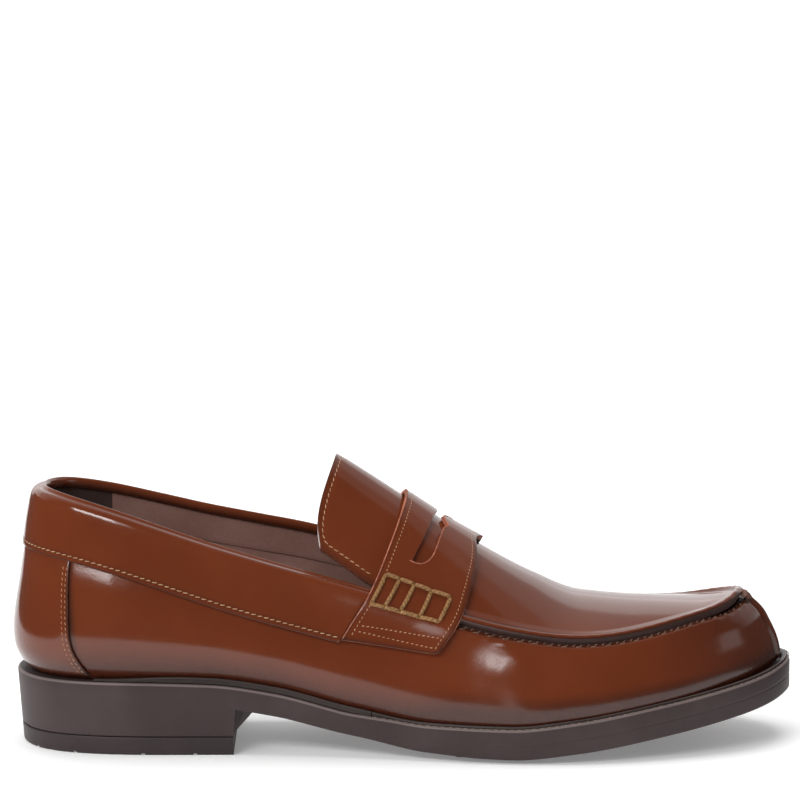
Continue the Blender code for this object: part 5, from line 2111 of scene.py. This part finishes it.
@dataclass
class Welt:
    """Welt round the forepart, and a rand along each side of the waist."""

    height: float = 2.4
    inset: float = 1.2
    joint_x: float = 137.3
    rand_start_x: float = 31.0
    rand_rise: float = 35.0
    clearance: float = 0.45
    rounding: float = 0.6
    ledge_row: Stitching = Stitching(2.9, 2.0, 0.5, 3.0, 0.08)

    def face(self, place: Array, step: Array) -> Array:
        """Face of the welt, from its inner lower edge round the outside to its inner top edge and back.

        Args:
            place: Places round the rim.
            step: Place on the welt's section, from 0 to 7.

        Returns:
            One point for each place.
        """
        row = LAST.rim(place)
        inner = row[..., 2] - self.clearance
        lean = row[..., 6] / row[..., 7] * (self.height - LAST.gap)
        low, side, soft = LAST.gap, self.inset, self.rounding
        grown = soft_step(self.rand_start_x, self.rand_start_x + self.rand_rise, row[..., 0])
        top = low + (self.height - low) * (0.3 + 0.7 * grown)
        insets = [inner, side, side, side + 0.3 * soft, side + soft, inner - lean, inner, inner]
        rises = [0.0, 0.0, 0.72, 0.92, 1.0, 1.0, 0.5, 0.0]
        stops = [np.broadcast_to(value, place.shape) for value in insets]
        index = np.clip(step.astype(int), 0, 6)
        part = step - index
        inset = np.choose(index, stops[:-1]) * (1.0 - part) + np.choose(index, stops[1:]) * part
        height = low + (top - low) * np.interp(step, np.arange(8), rises)
        flat, _ = LAST.outline(place, inset)
        return np.concatenate([flat, (LAST.seat(flat[..., 0]) + height)[..., None]], axis=-1)

    @staticmethod
    def toned(place: Array, step: Array) -> Array:
        """Painted highlight: a pale line along the welt's upper outer edge, the same at every place."""
        return 0.75 * np.exp(-((step - 3.7) / 0.5) ** 2)

    def strip(self, name: str, node: str, start: float, end: float) -> Piece:
        """Make one strip of welt.

        Args:
            name: Name of the piece.
            node: Solid that it stands for.
            start: Place where it starts.
            end: Place where it ends.

        Returns:
            The piece.
        """
        count = int(abs(end - start) / 1.6)
        section = np.array([0.0, 1.0, 1.6, 2.0, 2.5, 3.0, 3.5, 4.0, 4.5, 5.0, 6.0, 7.0])
        shape = Sheet(np.linspace(start, end, count), section, self.face, self.toned).build()
        bmesh.ops.holes_fill(shape, edges=[edge for edge in shape.edges if edge.is_boundary], sides=0)
        return make_solid(name, shape, FINISH.welt, node, 40.0)

    def build(self) -> list[Piece]:
        """Make the welt, the rands and the stitches on the sole's ledge.

        Returns:
            The pieces.
        """
        joint = LAST.both_at(self.joint_x)
        behind = LAST.both_at(self.joint_x - LAST.gap)
        start = LAST.both_at(self.rand_start_x)
        pieces = [
            self.strip("storm_welt", "welt", joint[0], joint[1]),
            self.strip("waist_rand_lateral", "rand_lateral", start[0], behind[0]),
            self.strip("waist_rand_medial", "rand_medial", behind[1], start[1]),
        ]
        places = np.linspace(joint[0], joint[1], 900)
        flat, outward = LAST.outline(places, 0.55)
        points = np.column_stack([flat, LAST.seat(flat[:, 0]) + LAST.lip(flat[:, 0])])
        normals = unit(np.column_stack([0.6 * outward, np.ones(len(places))]))
        shape = bmesh.new()
        self.ledge_row.sew(shape, points, normals)
        return [*pieces, make_piece("welt_stitches", shape, (FINISH.dull_thread,))]


@dataclass
class SoftBox:
    """Soft light of the studio: where it stands, where it points, its size and its power."""

    name: str
    place: Triple
    aim: Triple
    size: Pair
    power: float
    mirrored: bool = True

    def build(self) -> None:
        """Hang the light."""
        light = bpy.data.lights.new(self.name, "AREA")
        light.shape = "RECTANGLE"
        light.size, light.size_y = self.size
        light.energy = self.power
        lamp = bpy.data.objects.new(self.name, light)
        lamp.location = self.place
        lamp.visible_glossy = self.mirrored
        lamp.rotation_euler = (Vector(self.aim) - Vector(self.place)).to_track_quat("-Z", "Y").to_euler()
        bpy.context.scene.collection.objects.link(lamp)


@dataclass
class Studio:
    """Pale floor, soft light and the camera at the photo's angle."""

    target: Triple = (0.00015, -0.002, 0.050)
    elevation: float = 12.0
    distance: float = 1.8
    pixels_per_metre: float = 2580.0
    image: float = 800.0
    target_pixel: Pair = (404.8, 609.5)
    sensor: float = 36.0
    floor_size: float = 9.0
    sky: float = 0.09
    floor_glow: float = 0.2
    paper: tuple[float, float, float, float] = (-0.42, 0.24, -0.235, 2.4)
    paper_height: float = 0.0003
    lights: tuple[SoftBox, ...] = (
        SoftBox("backdrop", (0.0, 3.6, 1.45), (0.0, 3.6, 0.0), (8.0, 3.8), 110.0),
        SoftBox("backdrop_front", (0.0, 1.1, 1.45), (0.0, 1.1, 0.0), (8.0, 1.2), 16.0),
        SoftBox("backdrop_rim", (0.0, 0.25, 1.45), (0.0, 0.25, 0.0), (8.0, 0.5), 3.5),
        SoftBox("key", (-0.85, -1.5, 1.2), (0.0, 0.0, 0.05), (0.9, 0.55), 18.0),
        SoftBox("key_side", (-0.34, -1.65, 1.2), (0.0, 0.0, 0.05), (0.3, 0.5), 1.3),
        SoftBox("wall", (0.0, 5.6, 0.8), (0.0, 0.0, 0.8), (8.0, 1.6), 40.0),
        SoftBox("left", (-2.2, -0.9, 1.0), (0.0, 0.0, 0.05), (1.2, 1.2), 16.0, False),
        SoftBox("right", (2.2, -0.7, 0.8), (0.0, 0.0, 0.05), (0.8, 0.6), 1.3),
        SoftBox("above", (0.0, 0.2, 2.2), (0.0, 0.0, 0.0), (1.6, 1.6), 30.0, False),
        SoftBox("front", (0.3, -2.2, 1.3), (0.0, 0.0, 0.05), (1.0, 1.0), 3.0, False),
    )

    def build(self) -> None:
        """Set up floor, light, camera and the plain display of colours."""
        self.floor()
        self.camera()
        for light in self.lights:
            light.build()
        world = bpy.data.worlds.new("studio")
        world.use_nodes = True
        world.node_tree.nodes["Background"].inputs["Color"].default_value = (1.0, 1.0, 1.0, 1.0)
        world.node_tree.nodes["Background"].inputs["Strength"].default_value = self.sky
        bpy.context.scene.world = world
        bpy.context.scene.view_settings.view_transform = "Standard"

    def floor(self) -> None:
        """Lay the pale floor, and on it the paper that the shoe stands on, which alone shows in its gloss."""
        tree = Tree("pale_floor", 0.7)
        tree.feed("Specular IOR Level", 0.1)
        tree.feed("Base Color", tree.mix(tree.noise(3.0), (0.90, 0.90, 0.90), (0.92, 0.92, 0.92)))
        tree.feed("Emission Color", (1.0, 1.0, 1.0))
        tree.feed("Emission Strength", self.floor_glow)
        left, right, front, back = self.paper
        half = Vector(((right - left) / 2.0, (back - front) / 2.0, 1.0))
        middle = Vector(((right + left) / 2.0, (back + front) / 2.0, 0.0))
        wide = Matrix.Translation((0.0, 0.0, -self.paper_height)) @ Matrix.Scale(self.floor_size, 4)
        near = Matrix.Translation(middle) @ Matrix.Diagonal(half).to_4x4()
        for name, place in (("floor", wide), ("paper", near)):
            shape = bmesh.new()
            bmesh.ops.create_grid(shape, x_segments=2, y_segments=2, size=1.0, matrix=place)
            sheet = link_mesh(name, shape, (tree.material,))
            sheet.visible_glossy = name == "paper"

    def camera(self) -> None:
        """Place the camera so that the target lands on its pixel of the photo."""
        rise = math.radians(self.elevation)
        back = Vector((0.0, -math.cos(rise), math.sin(rise)))
        data = bpy.data.cameras.new("camera")
        data.sensor_width = self.sensor
        focal = self.pixels_per_metre * self.distance
        data.lens = focal / self.image * self.sensor
        data.clip_end = 50.0
        camera = bpy.data.objects.new("camera", data)
        camera.location = Vector(self.target) + back * self.distance
        turn = (-back).to_track_quat("-Z", "Y").to_matrix()
        right, down = (pixel - self.image / 2.0 for pixel in self.target_pixel)
        sight = Vector((-right, down, -focal)).normalized()
        camera.rotation_euler = (turn @ sight).to_track_quat("-Z", "Y").to_euler()
        bpy.context.scene.collection.objects.link(camera)
        bpy.context.scene.camera = camera


def main() -> None:
    """Build the shoe's pieces in a maker's order, then the studio."""
    logging.basicConfig(level=logging.INFO, format="%(name)s: %(message)s")
    for assembly in (Sole(), Welt(), Upper(), Counter(), CollarBand(), Tongue(), Strap()):
        pieces = assembly.build()
        LOG.info("%s: %d pieces", type(assembly).__name__, len(pieces))
    Studio().build()


if __name__ == "__main__":
    main()
